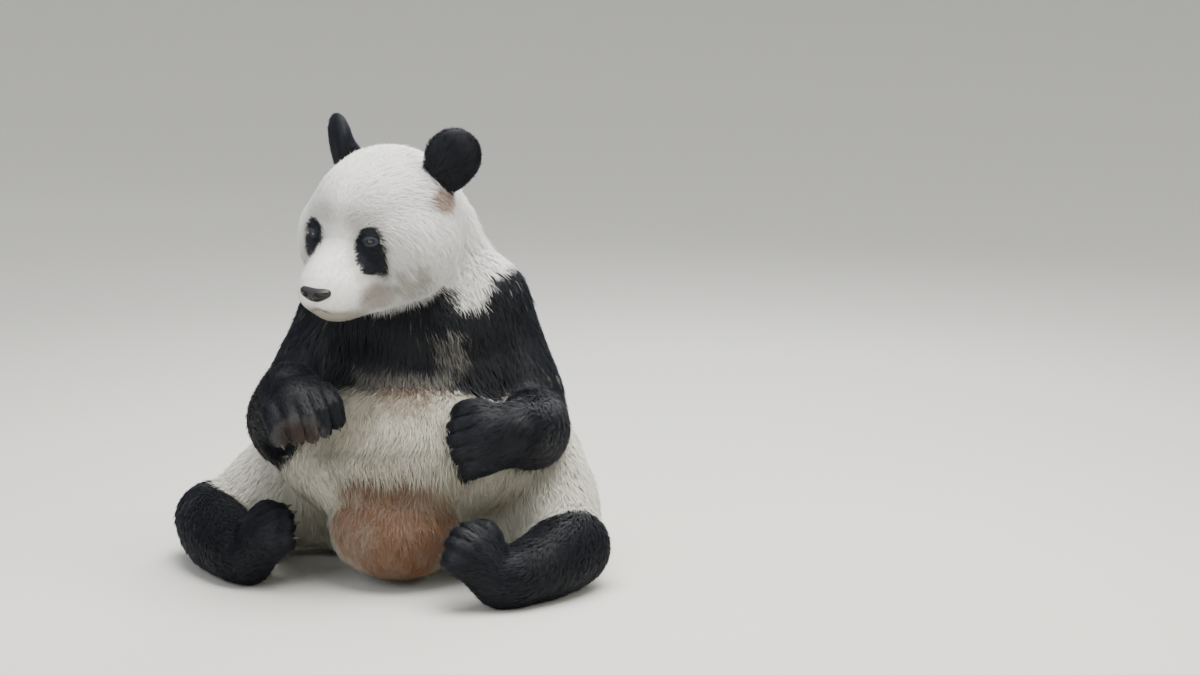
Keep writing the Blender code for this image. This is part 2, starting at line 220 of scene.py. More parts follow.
NECK_LINE = [
    (0.004, 0.070, 0.520, 0.155),
    (0.006, 0.045, 0.610, 0.142),
    (-0.006, 0.000, 0.685, 0.130),
    (-0.026, -0.060, 0.710, 0.120),
]
TAIL_LINE = [(0.0, 0.250, 0.070, 0.055), (0.0, 0.310, 0.045, 0.050), (0.0, 0.345, 0.036, 0.038)]
DOWN = (0, 0.12, -1)
NECK_TOP = ("from", (-0.02, -0.05, 0.86))
BREAST_BONE = ("from", (0.0, -0.05, 0.62))
BELLY_FRONT = ("from", (0, -0.16, 0.30))
add_group("trunk", 0.010)
add_ball("trunk", "rump", (0, 0.080, 0.180), (0.338, 0.245, 0.215), 0.012, 0.042, DOWN)
add_ball("trunk", "belly", (0, -0.090, 0.250), (0.272, 0.218, 0.158), 0.013, 0.058, BREAST_BONE)
add_ball("trunk", "back", (0, 0.045, 0.340), (0.260, 0.215, 0.215), 0.013, 0.044, DOWN)
add_ball("trunk", "chest", (0, 0.020, 0.480), (0.205, 0.175, 0.155), 0.012, 0.040, NECK_TOP)
add_ball("trunk", "back", (0, 0.080, 0.440), (0.185, 0.160, 0.185), 0.012, 0.042, DOWN)
add_ball("trunk", "belly", (0, -0.190, 0.112), (0.140, 0.120, 0.104), 0.011, 0.034, BELLY_FRONT)
for s in SIDES.values():
    shoulder = [(0.06 * s, 0.06, 0.585, 0.095), (0.135 * s, 0.03, 0.535, 0.098)]
    add_limb("trunk", "chest", shoulder, 0.012, 0.036, 3)
add_limb("trunk", "neck", NECK_LINE[::-1], 0.013, 0.046)
add_limb("trunk", "rump", TAIL_LINE, 0.012, 0.045, 5)

# The limbs: the hind legs are splayed flat, the right one further than the left, and the arms are bent, with
# the paws before the belly. Each paw has a palm, five curled digits, and pads of bare skin under it.

LEGS = {
    "left": {
        "haunch": [
            (0.150, 0.060, 0.180, 0.168),
            (0.240, -0.020, 0.145, 0.138),
            (0.300, -0.100, 0.108, 0.100),
        ],
        "shank": [
            (0.345, -0.165, 0.080, 0.083),
            (0.312, -0.250, 0.068, 0.074),
            (0.262, -0.322, 0.058, 0.062),
        ],
        "heel": (0.234, -0.346, 0.052),
        "distal": (-0.50, -0.16, 0.72),
        "dorsal": (0.42, -0.55, 0.35),
    },
    "right": {
        "haunch": [
            (-0.150, 0.070, 0.180, 0.168),
            (-0.265, 0.030, 0.140, 0.130),
            (-0.350, 0.000, 0.102, 0.094),
        ],
        "shank": [
            (-0.425, -0.030, 0.080, 0.082),
            (-0.385, -0.130, 0.070, 0.076),
            (-0.325, -0.215, 0.060, 0.064),
        ],
        "heel": (-0.292, -0.246, 0.052),
        "distal": (0.50, -0.16, 0.72),
        "dorsal": (-0.42, -0.55, 0.35),
    },
}
ARMS = {
    "left": {
        "upper": [
            (0.125, 0.030, 0.530, 0.104),
            (0.176, 0.030, 0.440, 0.092),
            (0.226, 0.000, 0.355, 0.083),
        ],
        "fore": [
            (0.240, -0.020, 0.312, 0.080),
            (0.260, -0.120, 0.302, 0.078),
            (0.252, -0.232, 0.322, 0.064),
        ],
        "distal": (-0.93, -0.35, -0.05),
        "dorsal": (-0.25, -0.90, 0.30),
    },
    "right": {
        "upper": [
            (-0.125, 0.020, 0.530, 0.104),
            (-0.184, -0.010, 0.436, 0.090),
            (-0.238, -0.060, 0.335, 0.081),
        ],
        "fore": [
            (-0.240, -0.095, 0.290, 0.083),
            (-0.224, -0.190, 0.335, 0.080),
            (-0.194, -0.278, 0.405, 0.060),
        ],
        "distal": (0.50, -0.82, -0.22),
        "dorsal": (-0.05, -0.35, 0.90),
    },
}
FORE_PALM = ((0, 0.046, 0.0), (0.065, 0.066, 0.050))
FORE_DIGIT = {"pitch": 0.0275, "base": 0.085, "reach": 0.042, "curl": 0.036, "radius": 0.0225}
HIND_PALM = ((0, 0.050, 0.0), (0.058, 0.072, 0.044))
HIND_DIGIT = {"pitch": 0.0240, "base": 0.092, "reach": 0.028, "curl": 0.014, "radius": 0.0200}
HEEL_RADIUS = 0.052
DIGITS = 5


def paw_axes(distal, dorsal):
    """A paw's own axes as columns: across it, along it to the claws, and out of its back."""
    along = np.array(distal) / np.linalg.norm(distal)
    across = np.cross(along, dorsal)
    across /= np.linalg.norm(across)
    return np.stack([across, along, np.cross(across, along)], axis=1)


def placed(points, origin, axes):
    """Points from a piece's own frame, put into the body's."""
    return np.array(origin) + np.array(points) @ axes.T


def digit_lines(size):
    """Each digit's centre line in the paw's frame, as (x, y, z, radius); the middle ones reach furthest."""
    lines = []
    for k in range(DIGITS):
        offset = k - (DIGITS - 1) / 2
        x = offset * size["pitch"]
        base = size["base"] - 0.004 * offset**2
        reach = size["reach"] - 0.002 * offset**2
        radius = size["radius"]
        lines.append(np.array([
            (x, base, 0.004, radius),
            (x * 1.08, base + reach * 0.75, -size["curl"] * 0.25, radius * 0.97),
            (x * 1.05, base + reach, -size["curl"], radius * 0.88),
        ]))
    return lines


def add_paw(group, coat, origin, axes, palm, size, thickness):
    """A palm, its digits, and the pads: one broad pad behind the digits and one under each."""
    at, radii = palm
    add_ball(group, coat, placed(at, origin, axes), radii, 0.006, 0.018, tuple(axes[:, 1]), axes)
    pad_y = size["base"] - 0.022
    add_ball(group, "pads", placed((0, pad_y, -thickness * 0.62), origin, axes),
             (size["pitch"] * 1.9, 0.021, thickness * 0.36), 0.0, 0.0, tuple(axes[:, 1]), axes, bare=1.0)
    for line in digit_lines(size):
        world_line = np.column_stack([placed(line[:, :3], origin, axes), line[:, 3]])
        add_limb(group, coat, world_line, 0.004, 0.012, 4)
        tip = line[-1]
        pad = (tip[0], tip[1] - 0.006, tip[2] - tip[3] * 0.45)
        add_ball(group, "pads", placed(pad, origin, axes), (0.0105, 0.0130, 0.0105), 0.0, 0.0,
                 tuple(axes[:, 1]), axes, bare=1.0)


paws = {}
for name in SIDES:
    arm, leg = ARMS[name], LEGS[name]
    add_limb("trunk", "upper_arm", arm["upper"], 0.010, 0.034, after=run_of(arm["fore"]))
    add_limb("trunk", "thigh", leg["haunch"], 0.011, 0.038, after=run_of(leg["shank"]))
    add_group(f"arm_{name}", 0.006)
    wrist = arm["fore"][-1]
    axes = paw_axes(arm["distal"], arm["dorsal"])
    paws[f"forepaw_{name}"] = (wrist[:3], axes, FORE_DIGIT)
    before, after = run_of(arm["upper"]), axes[:, 1]
    add_limb(f"arm_{name}", "forearm", arm["fore"], 0.009, 0.032, before=before, after=after)
    add_paw(f"arm_{name}", "forepaw", wrist[:3], axes, FORE_PALM, FORE_DIGIT, FORE_PALM[1][2])
    add_group(f"leg_{name}", 0.007)
    axes = paw_axes(leg["distal"], leg["dorsal"])
    paws[f"hind_paw_{name}"] = (leg["heel"], axes, HIND_DIGIT)
    before, after = run_of(leg["haunch"]), axes[:, 1]
    add_limb(f"leg_{name}", "shank", leg["shank"], 0.009, 0.028, before=before, after=after)
    add_ball(f"leg_{name}", "hind_paw", leg["heel"], [HEEL_RADIUS] * 3, 0.007, 0.019, tuple(axes[:, 1]))
    add_paw(f"leg_{name}", "hind_paw", leg["heel"], axes, HIND_PALM, HIND_DIGIT, HIND_PALM[1][2])

# The head, in its own frame: the face looks along -Y, and the origin is the middle of the skull. A high
# domed braincase, broad cheeks, a short blunt muzzle, small eyes set low and wide, and round ears at the
# back corners.

HEAD_CENTRE = np.array([-0.042, -0.128, 0.715])
HEAD_YAW, HEAD_PITCH, HEAD_ROLL = math.radians(-24), math.radians(11), math.radians(3)
HEAD_HALF_WIDTH = 0.169
EYE_RADIUS = 0.0125
EYE_PLACE = np.array([0.0645, -0.1165, 0.0140])
EYE_TURN = math.radians(30)  # each eye looks forward and outward
EAR_RADIUS, EAR_THICK = 0.060, 0.024
EAR_PLACE = np.array([0.136, 0.075, 0.132])
EAR_TURN, EAR_LEAN = math.radians(38), math.radians(24)
NOSE_HALF_WIDTH = 0.0355
NOSE_PLACE = np.array([0, -0.2190, -0.0660])


def turn_about(axis, angle):
    """The rotation matrix about one of the three axes."""
    return np.array(Matrix.Rotation(angle, 3, axis))


HEAD_AXES = turn_about("Z", HEAD_YAW) @ turn_about("X", HEAD_PITCH) @ turn_about("Y", HEAD_ROLL)


def add_head_ball(coat, at, radii, depth, hair, comb, group="head", turn=None, bare=0.0):
    """A ball given in the head's frame; comb is the point there that its hair runs away from."""
    lie = ("from", tuple(placed(comb, HEAD_CENTRE, HEAD_AXES)))
    turn = HEAD_AXES if turn is None else HEAD_AXES @ turn
    add_ball(group, coat, placed(at, HEAD_CENTRE, HEAD_AXES), radii, depth, hair, lie, turn, bare)


NOSE_TIP = (0, -0.240, -0.055)
BRIDGE = (0, -0.215, 0.010)
CROWN_FRONT = (0, -0.190, 0.130)
cheek_radius = 0.090
cheek = HEAD_HALF_WIDTH - cheek_radius
add_group("head", 0.012)
add_head_ball("head", (0, 0.030, 0.018), (0.137, 0.138, 0.130), 0.009, 0.021, BRIDGE)  # braincase
add_head_ball("head", (0, -0.038, 0.050), (0.103, 0.084, 0.085), 0.007, 0.016, BRIDGE)  # forehead
add_head_ball("head", (0, -0.074, -0.008), (0.110, 0.062, 0.073), 0.005, 0.010, NOSE_TIP)  # between the eyes
add_head_ball("head", (0, -0.125, -0.054), (0.078, 0.070, 0.060), 0.0045, 0.0088, NOSE_TIP)  # muzzle root
add_head_ball("head", (0, -0.174, -0.069), (0.058, 0.049, 0.045), 0.0028, 0.0052, NOSE_TIP)  # its end
add_head_ball("head", (0, -0.150, -0.117), (0.042, 0.045, 0.027), 0.0035, 0.0085, NOSE_TIP)  # chin
add_head_ball("head", (0, -0.070, -0.110), (0.088, 0.095, 0.042), 0.009, 0.024, NOSE_TIP)  # jaw
add_group("lids", 0.002)
for name, s in SIDES.items():
    cheek_at = (cheek * s, -0.012, -0.036)
    add_head_ball("head", cheek_at, (cheek_radius, 0.104, 0.098), 0.011, 0.036, CROWN_FRONT)
    lip = (0.026 * s, -0.174, -0.088)
    add_head_ball("head", lip, (0.036, 0.042, 0.030), 0.0026, 0.0050, NOSE_TIP)
    eye = EYE_PLACE * (s, 1, 1)
    add_head_ball("head", eye, [EYE_RADIUS + 0.0024] * 3, 0.0, 0.004, NOSE_TIP, "lids")
    add_group(f"ear_{name}", 0.006)
    ear = EAR_PLACE * (s, 1, 1)
    turn = turn_about("Z", EAR_TURN * s) @ turn_about("Y", EAR_LEAN * s)
    base = ear + (-0.034 * s, 0.0, -0.060)
    stalk = ear + (-0.022 * s, 0.0, -0.036)
    shell = (EAR_RADIUS, EAR_THICK, EAR_RADIUS * 1.08)
    add_head_ball("ear", ear, shell, 0.007, 0.021, base, f"ear_{name}", turn)
    add_head_ball("ear", stalk, (0.044, 0.028, 0.044), 0.007, 0.021, base, f"ear_{name}", turn)

# The body as one field. At any point it gives the distance to the coat's outside and, blended from the
# nearest forms, the outward direction, the way the hair lies, the coat's depth, the hair's length, and how
# far the point belongs to bare skin, to a black limb and to the trunk.

ACROSS_GROUPS = 0.005  # how widely one group blends into another
NAPE_SOFT = 0.026  # and the head into the neck
FIELD_CELL, FIELD_REACH = 0.08, 0.07  # points are taken in cells, with the forms within reach of each
CELLS_ACROSS = 1024  # cells that can be told apart along each axis
VALUE_COUNT = 11  # numbers that the field gives, at the places below
OUT, LIE = slice(0, 3), slice(3, 6)
DEPTH, HAIR, BARE, LIMB, TRUNK = range(6, 11)
forms = [form for group in groups.values() for form in group["forms"]]


def ball_distance(points, form):
    """Distance to an ellipsoid, k (k - 1) / g, with k the length in units of its radii and g its gradient."""
    own = (points - form["at"]) @ form["turn"]
    scaled = own / form["radii"]
    gradient = scaled / form["radii"]
    k = np.linalg.norm(scaled, axis=1)
    g = np.linalg.norm(gradient, axis=1) + 1e-9
    if isinstance(form["lie"][0], str):
        lie = points - np.array(form["lie"][1])
    else:
        lie = np.broadcast_to(np.array(form["lie"], float), points.shape)
    return k * (k - 1) / g, (gradient / g[:, None]) @ form["turn"].T, lie


def limb_distance(points, form):
    """The least distance to the limb's round cones: from each axis's nearest point, less the radius there."""
    best = np.full(len(points), np.inf)
    out = np.zeros((len(points), 3))
    lie = np.zeros((len(points), 3))
    stretches = zip(form["line"], form["line"][1:], form["lies"], form["lies"][1:])
    for low, high, low_lie, high_lie in stretches:
        axis = high[:3] - low[:3]
        t = np.clip((points - low[:3]) @ axis / (axis @ axis), 0, 1)
        away = points - low[:3] - t[:, None] * axis
        length = np.linalg.norm(away, axis=1) + 1e-9
        distance = length - (low[3] + t * (high[3] - low[3]))
        nearer = distance < best
        best = np.where(nearer, distance, best)
        out[nearer] = away[nearer] / length[nearer, None]
        lie[nearer] = low_lie + t[nearer, None] * (high_lie - low_lie)
    return best, out, lie


def soft_least(parts, soft):
    """Soft minimum of (distance, values) pairs: -k log(sum exp(-d / k)); its terms weigh the values."""
    total = sum(np.exp(np.clip(-distance / soft, -300, 300)) for distance, _ in parts)
    values = sum(np.exp(np.clip(-distance / soft, -300, 300))[:, None] * values for distance, values in parts)
    return -soft * np.log(total), values / total[:, None]


def cell_field(points):
    """One cell's (distance, values, nearest form), blended in each group, then head and trunk, then all."""
    low, high = points.min(0) - FIELD_REACH, points.max(0) + FIELD_REACH
    owner = np.zeros(len(points), int)
    least = np.full(len(points), np.inf)
    blends = {}
    index = -1
    for name, group in groups.items():
        parts = []
        for form in group["forms"]:
            index += 1
            if (form["box"][0] > high).any() or (form["box"][1] < low).any():
                continue
            measure = ball_distance if form["kind"] == "ball" else limb_distance
            distance, out, lie = measure(points, form)
            lie = lie / (np.linalg.norm(lie, axis=1, keepdims=True) + 1e-9)
            own = np.broadcast_to(np.array(form["values"], float), (len(points), 5))
            parts.append((distance, np.hstack([out, lie, own])))
            owner = np.where(distance < least, index, owner)
            least = np.minimum(distance, least)
        if parts:
            blends[name] = soft_least(parts, group["soft"])
    if "head" in blends and "trunk" in blends:
        blends["trunk"] = soft_least([blends["trunk"], blends.pop("head")], NAPE_SOFT)
    if not blends:
        return np.full(len(points), 0.5), np.full((len(points), VALUE_COUNT), 0.01), owner
    distance, values = soft_least(list(blends.values()), ACROSS_GROUPS)
    values[:, OUT] /= np.linalg.norm(values[:, OUT], axis=1, keepdims=True) + 1e-9
    return distance, values, owner


def in_head(points):
    """Points of the body's frame, in the head's own."""
    return (points - HEAD_CENTRE) @ HEAD_AXES


def one_side(head):
    """Points of the head's frame, those of its right side mirrored onto the left."""
    return np.column_stack([np.abs(head[:, 0]), head[:, 1:]])


HEAD_RELIEF = [  # (middle, radii, height) in the head's frame, both sides alike
    ((0.100, -0.078, 0.030), (0.038, 0.050, 0.028), 0.0100),  # over the outer corner of the eye
    ((0.050, -0.125, 0.052), (0.030, 0.040, 0.018), 0.0030),  # brow
    ((0.094, -0.112, -0.056), (0.026, 0.050, 0.024), -0.0065),  # hollow under the cheek bone
    ((0.044, -0.160, -0.030), (0.015, 0.036, 0.026), -0.0040),  # hollow beside the bridge
    ((0.000, -0.190, -0.024), (0.020, 0.045, 0.032), 0.0022),  # bridge of the nose
    ((0.064, -0.140, -0.094), (0.022, 0.036, 0.018), -0.0030),  # corner of the mouth
]
BODY_RELIEF = [
    ((0.010, -0.300, 0.290), (0.150, 0.130, 0.013), -0.0110),  # folds across the belly
    ((0.010, -0.300, 0.262), (0.150, 0.130, 0.020), 0.0060),
    ((0.010, -0.300, 0.228), (0.130, 0.130, 0.012), -0.0130),
    ((0.000, -0.170, 0.390), (0.160, 0.100, 0.014), -0.0050),  # and under the chest
]
LIMB_RELIEF = [
    ((0.281, -0.285, 0.305), (0.011, 0.060, 0.045), -0.0130),  # crease at the left wrist
    ((0.243, -0.290, 0.288), (0.030, 0.050, 0.036), 0.0060),  # heel of the left forepaw
]


def relief(points, bumps):
    """Sum of h exp(-|(p - middle) / radii|^2) over the bumps."""
    lift = np.zeros(len(points))
    for middle, radii, high in bumps:
        lift += high * np.exp(-(((points - np.array(middle)) / np.array(radii)) ** 2).sum(1))
    return lift


def soft_step(value, low, high):
    t = np.clip((value - low) / (high - low), 0, 1)
    return t * t * (3 - 2 * t)


def between_digits(points):
    """Grooves between the digits: depth exp(-((x - middle) / width)^2), on the outer half of each paw."""
    lift = np.zeros(len(points))
    for origin, axes, size in paws.values():
        near = np.flatnonzero(((points - np.array(origin)) ** 2).sum(1) < 0.20**2)
        own = (points[near] - np.array(origin)) @ axes
        gap = (own[:, 0] / size["pitch"]) % 1.0 - 0.5
        reach = soft_step(own[:, 1], size["base"] - 0.03, size["base"] + 0.02)
        reach *= np.abs(own[:, 0]) < 2.0 * size["pitch"]
        lift[near] -= 0.0060 * np.exp(-((gap * size["pitch"] / 0.0045) ** 2)) * reach
    return lift


def body_field(points):
    """(height over the skin, values, nearest form); the skin lies under the coat's outside by its depth."""
    x, y, z = np.floor(points / FIELD_CELL).astype(np.int64).T + CELLS_ACROSS // 2
    _, cell = np.unique((x * CELLS_ACROSS + y) * CELLS_ACROSS + z, return_inverse=True)
    order = np.argsort(cell, kind="stable")
    ends = np.searchsorted(cell[order], np.arange(cell.max() + 2))
    height = np.empty(len(points))
    values = np.empty((len(points), VALUE_COUNT))
    owner = np.empty(len(points), int)
    for low, high in zip(ends, ends[1:]):
        chosen = order[low:high]
        distance, values[chosen], owner[chosen] = cell_field(points[chosen])
        height[chosen] = distance + values[chosen, DEPTH]
    height -= relief(one_side(in_head(points)), HEAD_RELIEF)
    trunk = np.clip(values[:, TRUNK], 0, 1)
    height -= relief(points, BODY_RELIEF) * trunk + relief(points, LIMB_RELIEF) * (1 - trunk)
    height -= between_digits(points)
    return height, values, owner


def unit(vectors):
    return vectors / (np.linalg.norm(vectors, axis=-1, keepdims=True) + 1e-12)


def flattened(vectors, out):
    """The part of each vector that lies along the surface, as a unit vector."""
    return unit(vectors - (vectors * out).sum(-1, keepdims=True) * out)


# The coat's marks: white head and neck, black ears, eye patches, shoulder band and limbs, cream flanks, a
# greyed belly, and rust where the hair is stained. Painted shade greys the face round the eye patches,
# under the brow and on the cheek, and darkens the belly's folds and the hair between its locks. They are
# soft regions, ragged at the edge by noise as hair is.

BAND = ((0.000, -0.020, 0.635), (0.520, 0.380, 0.212))  # the black band lies inside this ball
COLLAR = ((0.000, 0.030, 0.735), (0.285, 0.300, 0.155))  # and outside this one
WISPS = ((0.128, -0.085, 0.602), (0.075, 0.090, 0.085))  # white locks of the neck over the black
ARMPITS = ((0.165, -0.100, 0.440), (0.085, 0.130, 0.075))  # black under both arms
STREAKS = ((0.092, -0.125, 0.468), (0.055, 0.090, 0.080))  # grey hairs in the black, left of the breast bone
FADED_HEM = ((0.0, -0.13, 0.430), (0.27, 0.20, 0.062))  # greyed lower edge of the band, in front
EYE_PATCHES = [  # (centre, radii) in the head's frame, on the left side
    ((0.0615, -0.130, 0.0110), (0.0262, 0.060, 0.0300)),
    ((0.0670, -0.126, -0.0060), (0.0240, 0.060, 0.0290)),
    ((0.0745, -0.122, -0.0255), (0.0175, 0.060, 0.0265)),
]
EAR_STAIN = ((0.126, 0.030, 0.060), (0.028, 0.050, 0.034))  # rust-brown hair under each ear
GROIN_STAIN = ((0.008, -0.27, 0.134), (0.148, 0.20, 0.146))
BELLY_STAIN = ((0.030, -0.20, 0.385), (0.110, 0.13, 0.040))
BRIM_HEIGHT, BRIM_ARCH, BRIM_SOFT = 0.247, 1.6, 0.018  # stain's upper edge, darkened by painted shade
BRIM_MIDDLE, BRIM_HALF_WIDTH = -0.005, 0.125
FOLD_SHADE_HEIGHT = 0.302  # the belly's upper fold, where painted shade darkens the hair
# Painted shadow under the brow, and painted shade on the cheek.
BROW_SHADE = ((0.050, -0.130, 0.050), (0.075, 0.060, 0.034))
CHEEK_SHADE = ((0.118, -0.075, -0.070), (0.060, 0.080, 0.060))
MOUTH_STAIN = ((0.074, -0.130, -0.092), (0.048, 0.060, 0.040))  # in the head's frame, on both sides
CHIN_STAIN = ((0.000, -0.195, -0.130), (0.095, 0.110, 0.040))
PALM_STAIN = ((-0.145, -0.395, 0.335), (0.060, 0.070, 0.055))  # thin brownish hair on the right forepaw


def hashed(x, y, z, seed):
    """A repeatable number from 0 to 1 for each cell of a lattice."""
    n = (x * 73856093 ^ y * 19349663 ^ z * 83492791 ^ seed * 26544357) & 0x7FFFFFFF
    n = ((n ^ (n >> 13)) * 1274126177) & 0x7FFFFFFF
    n = ((n ^ (n >> 15)) * 668265263) & 0x7FFFFFFF
    return ((n ^ (n >> 16)) & 0xFFFFF) / 0xFFFFF


def noise(points, size, seed):
    """Smooth noise from -1 to 1: lattice values blended by 3 s^2 - 2 s^3 along each axis."""
    scaled = points / size
    cell = np.floor(scaled).astype(np.int64)
    s = scaled - cell
    s = s * s * (3 - 2 * s)
    total = np.zeros(len(points))
    for corner in np.ndindex(2, 2, 2):
        weight = np.prod(np.where(corner, s, 1 - s), axis=1)
        total += weight * hashed(*(cell + corner).T, seed)
    return 2 * total - 1


def within(points, at, radii):
    """How far inside a ball points lie: 1 at its middle, 0 on it, negative outside."""
    return 1 - np.linalg.norm((points - np.array(at)) / np.array(radii), axis=1)


def coat_marks(points, values):
    """(points, 6): shares of black, rust, grey, cream, greyed black and bare skin. Grey also holds
    painted shade on the face, and greyed black the painted shade in the belly's folds and between its locks.
    """
    ragged = 0.6 * noise(points, 0.020, 3) + 0.4 * noise(points, 0.008, 4)
    fine = noise(points, 0.005, 5)
    broad = noise(points, 0.060, 6)
    side = one_side(in_head(points))
    x, y, z = points.T
    trunk = soft_step(values[:, TRUNK], 0.4, 0.6)
    face = 1 - trunk
    front = soft_step(-y + 0.02 * ragged, 0.0, 0.10)
    band = soft_step(within(points, *BAND) + 0.060 * ragged + 0.050 * fine, -0.03, 0.03)
    collar = soft_step(within(points, *COLLAR) + 0.040 * ragged + 0.030 * fine, -0.025, 0.025)
    wisps = soft_step(within(points, *WISPS), 0.0, 0.8) + 0.30 * fine + 0.35 * ragged
    collar = np.maximum(collar, soft_step(wisps, 0.38, 0.55))
    armpit = within(np.column_stack([np.abs(x), y, z]), *ARMPITS) + 0.15 * ragged + 0.10 * fine
    band = np.maximum(band, soft_step(armpit, 0.0, 0.15))
    limb = soft_step(values[:, LIMB] + 0.22 * ragged, 0.35, 0.60)
    black = np.maximum(limb * (1 - trunk * collar), trunk * band * (1 - collar))
    streaks = soft_step(within(points, *STREAKS), 0.0, 0.7) + 0.7 * fine + 0.4 * ragged
    streaks = soft_step(streaks, 0.55, 1.20) * trunk
    black *= 1 - 0.65 * streaks
    patch = np.max([within(side, *ball) for ball in EYE_PATCHES], axis=0)
    black = np.maximum(black, soft_step(patch + 0.035 * ragged, -0.035, 0.045) * (side[:, 1] < -0.03) * face)
    groin = soft_step(within(points, *GROIN_STAIN) + 0.14 * ragged + 0.10 * fine, 0.0, 0.32) * trunk
    rust = groin * (0.85 + 0.15 * broad + 0.25 * ragged)
    # The stain's upper edge: rust, with painted shade under the fold darkening it.
    arch = BRIM_HEIGHT - BRIM_ARCH * x**2 + 0.012 * ragged
    brim_stain_and_shade = np.exp(-(((z - arch) / BRIM_SOFT) ** 2))
    brim_stain_and_shade *= soft_step(BRIM_HALF_WIDTH - np.abs(x - BRIM_MIDDLE), 0.0, 0.06)
    rust = np.maximum(rust, 0.9 * brim_stain_and_shade * front * trunk)
    black = np.maximum(black, 0.42 * brim_stain_and_shade * front * trunk)
    belly = soft_step(within(points, *BELLY_STAIN) + 0.3 * ragged, 0.0, 0.6) * trunk
    rust = np.maximum(rust, 0.34 * belly)
    rust = np.maximum(rust, 0.85 * soft_step(within(side, *EAR_STAIN) + 0.15 * ragged, 0, 0.5))
    mouth = soft_step(within(side, *MOUTH_STAIN) + 0.15 * ragged, 0.0, 0.7) * face
    chin = soft_step(within(side, *CHIN_STAIN) + 0.15 * ragged, 0.0, 0.5) * face
    rust = np.maximum(rust, np.maximum(0.34 * mouth, 0.20 * chin))
    grey = front * soft_step(0.47 - z + 0.03 * ragged, 0.0, 0.12) * soft_step(0.33 - np.abs(x), 0.0, 0.12)
    grey = np.maximum(grey * (0.80 + 0.35 * broad), groin) * trunk
    # Painted shade on the face: round the eye patches, under the brow, and broken up by noise on the cheek.
    shade = 0.42 * soft_step(patch + 0.10 * ragged, -0.60, -0.05) * (side[:, 1] < -0.03) * face
    brow = 0.46 * soft_step(within(side, *BROW_SHADE) + 0.20 * ragged, 0.0, 0.7)
    shaded_strands = 0.80 * soft_step(within(side, *CHEEK_SHADE) + 0.60 * fine + 0.30 * ragged, 0.15, 0.80)
    shade = np.maximum(shade, np.maximum(brow, shaded_strands) * face)
    grey = np.maximum(grey, np.maximum(shade, np.maximum(0.55 * mouth, 0.75 * chin)))
    cream = trunk * soft_step(0.62 - z, 0, 0.15)
    faded = within(points, *FADED_HEM) + 0.30 * ragged + 0.30 * fine
    faded = trunk * front * soft_step(faded, 0.0, 0.40)
    faded = np.maximum(faded, streaks)
    # Painted shade along the belly's upper fold.
    fold_shade = np.exp(-((z - FOLD_SHADE_HEIGHT + 0.5 * x**2 - 0.008 * ragged) / 0.013) ** 2)
    faded = np.maximum(faded, 0.50 * fold_shade * soft_step(0.18 - np.abs(x), 0.0, 0.08) * front * trunk)
    # Painted shade between the belly's locks.
    shaded_gaps = soft_step(noise(points * (1.0, 1.0, 0.4), 0.008, 7) + 0.3 * ragged, 0.10, 0.65)
    faded = np.maximum(faded, 0.50 * shaded_gaps * grey * trunk * (1 - groin))
    palm = soft_step(within(points, *PALM_STAIN) + 0.2 * ragged, 0.0, 0.5) * (1 - trunk)
    black *= 1 - 0.15 * palm
    rust = np.maximum(rust, 0.5 * palm)
    faded = np.clip(np.maximum(faded, palm), 0, 1)
    bare = soft_step(values[:, BARE], 0.35, 0.6)
    return np.clip(np.stack([black, rust, grey, cream, faded, bare], axis=1), 0, 1)


# The skin: one closed hide over the whole body, under the coat by its depth. It starts from the same forms,
# is fused, drawn onto the field, made finer on the face, and there the lids, lips and folds are raised.

SKIN_VOXEL = 0.0070
FACE_FINE = [  # (reach, middle) in the head's frame
    (0.098, (0.0, -0.160, -0.050)),
    (0.030, (0.0645, -0.122, 0.014)),
    (0.030, (-0.0645, -0.122, 0.014)),
]
FLOOR_CLEAR = 0.003  # the skin under the rump, over the floor
LID_HALF_WIDTH, LID_HALF_HEIGHT = 0.0108, 0.0066  # the opening between the lids
MOUTH_LINE = [  # in the head's frame, from the middle of the lip to the left corner of the mouth
    (0.000, -0.214, -0.104), (0.018, -0.210, -0.109), (0.036, -0.190, -0.111), (0.050, -0.160, -0.106),
    (0.064, -0.125, -0.096),
]


def sphere_grid(around, up):
    """Unit sphere on a grid of longitude and latitude: (sin a cos b, sin a sin b, cos a); and its faces."""
    a = np.linspace(0, math.pi, up + 1)[1:-1, None]
    b = np.linspace(0, 2 * math.pi, around, endpoint=False)[None]
    rings = np.stack([np.sin(a) * np.cos(b), np.sin(a) * np.sin(b), np.cos(a) + 0 * b], axis=-1)
    points = np.vstack([[(0, 0, 1)], rings.reshape(-1, 3), [(0, 0, -1)]])
    last = len(points) - 1
    k = np.arange(around)
    after = (k + 1) % around
    faces = [[0, 1 + i, 1 + j] for i, j in zip(k, after)]
    for row in range(up - 2):
        low = 1 + row * around
        faces += [[low + i, low + around + i, low + around + j, low + j] for i, j in zip(k, after)]
    low = 1 + (up - 2) * around
    faces += [[last, low + j, low + i] for i, j in zip(k, after)]
    return points, faces


def new_piece(name, mesh, material, slot, *nodes):
    """Links a finished mesh as a piece, with its material and the CAD nodes it stands for.
    The slot it is given is not used.
    """
    mesh.materials.append(material)
    piece = bpy.data.objects.new(name, mesh)
    bpy.context.scene.collection.objects.link(piece)
    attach(piece, "root")
    if nodes:
        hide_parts(*nodes)
    return piece


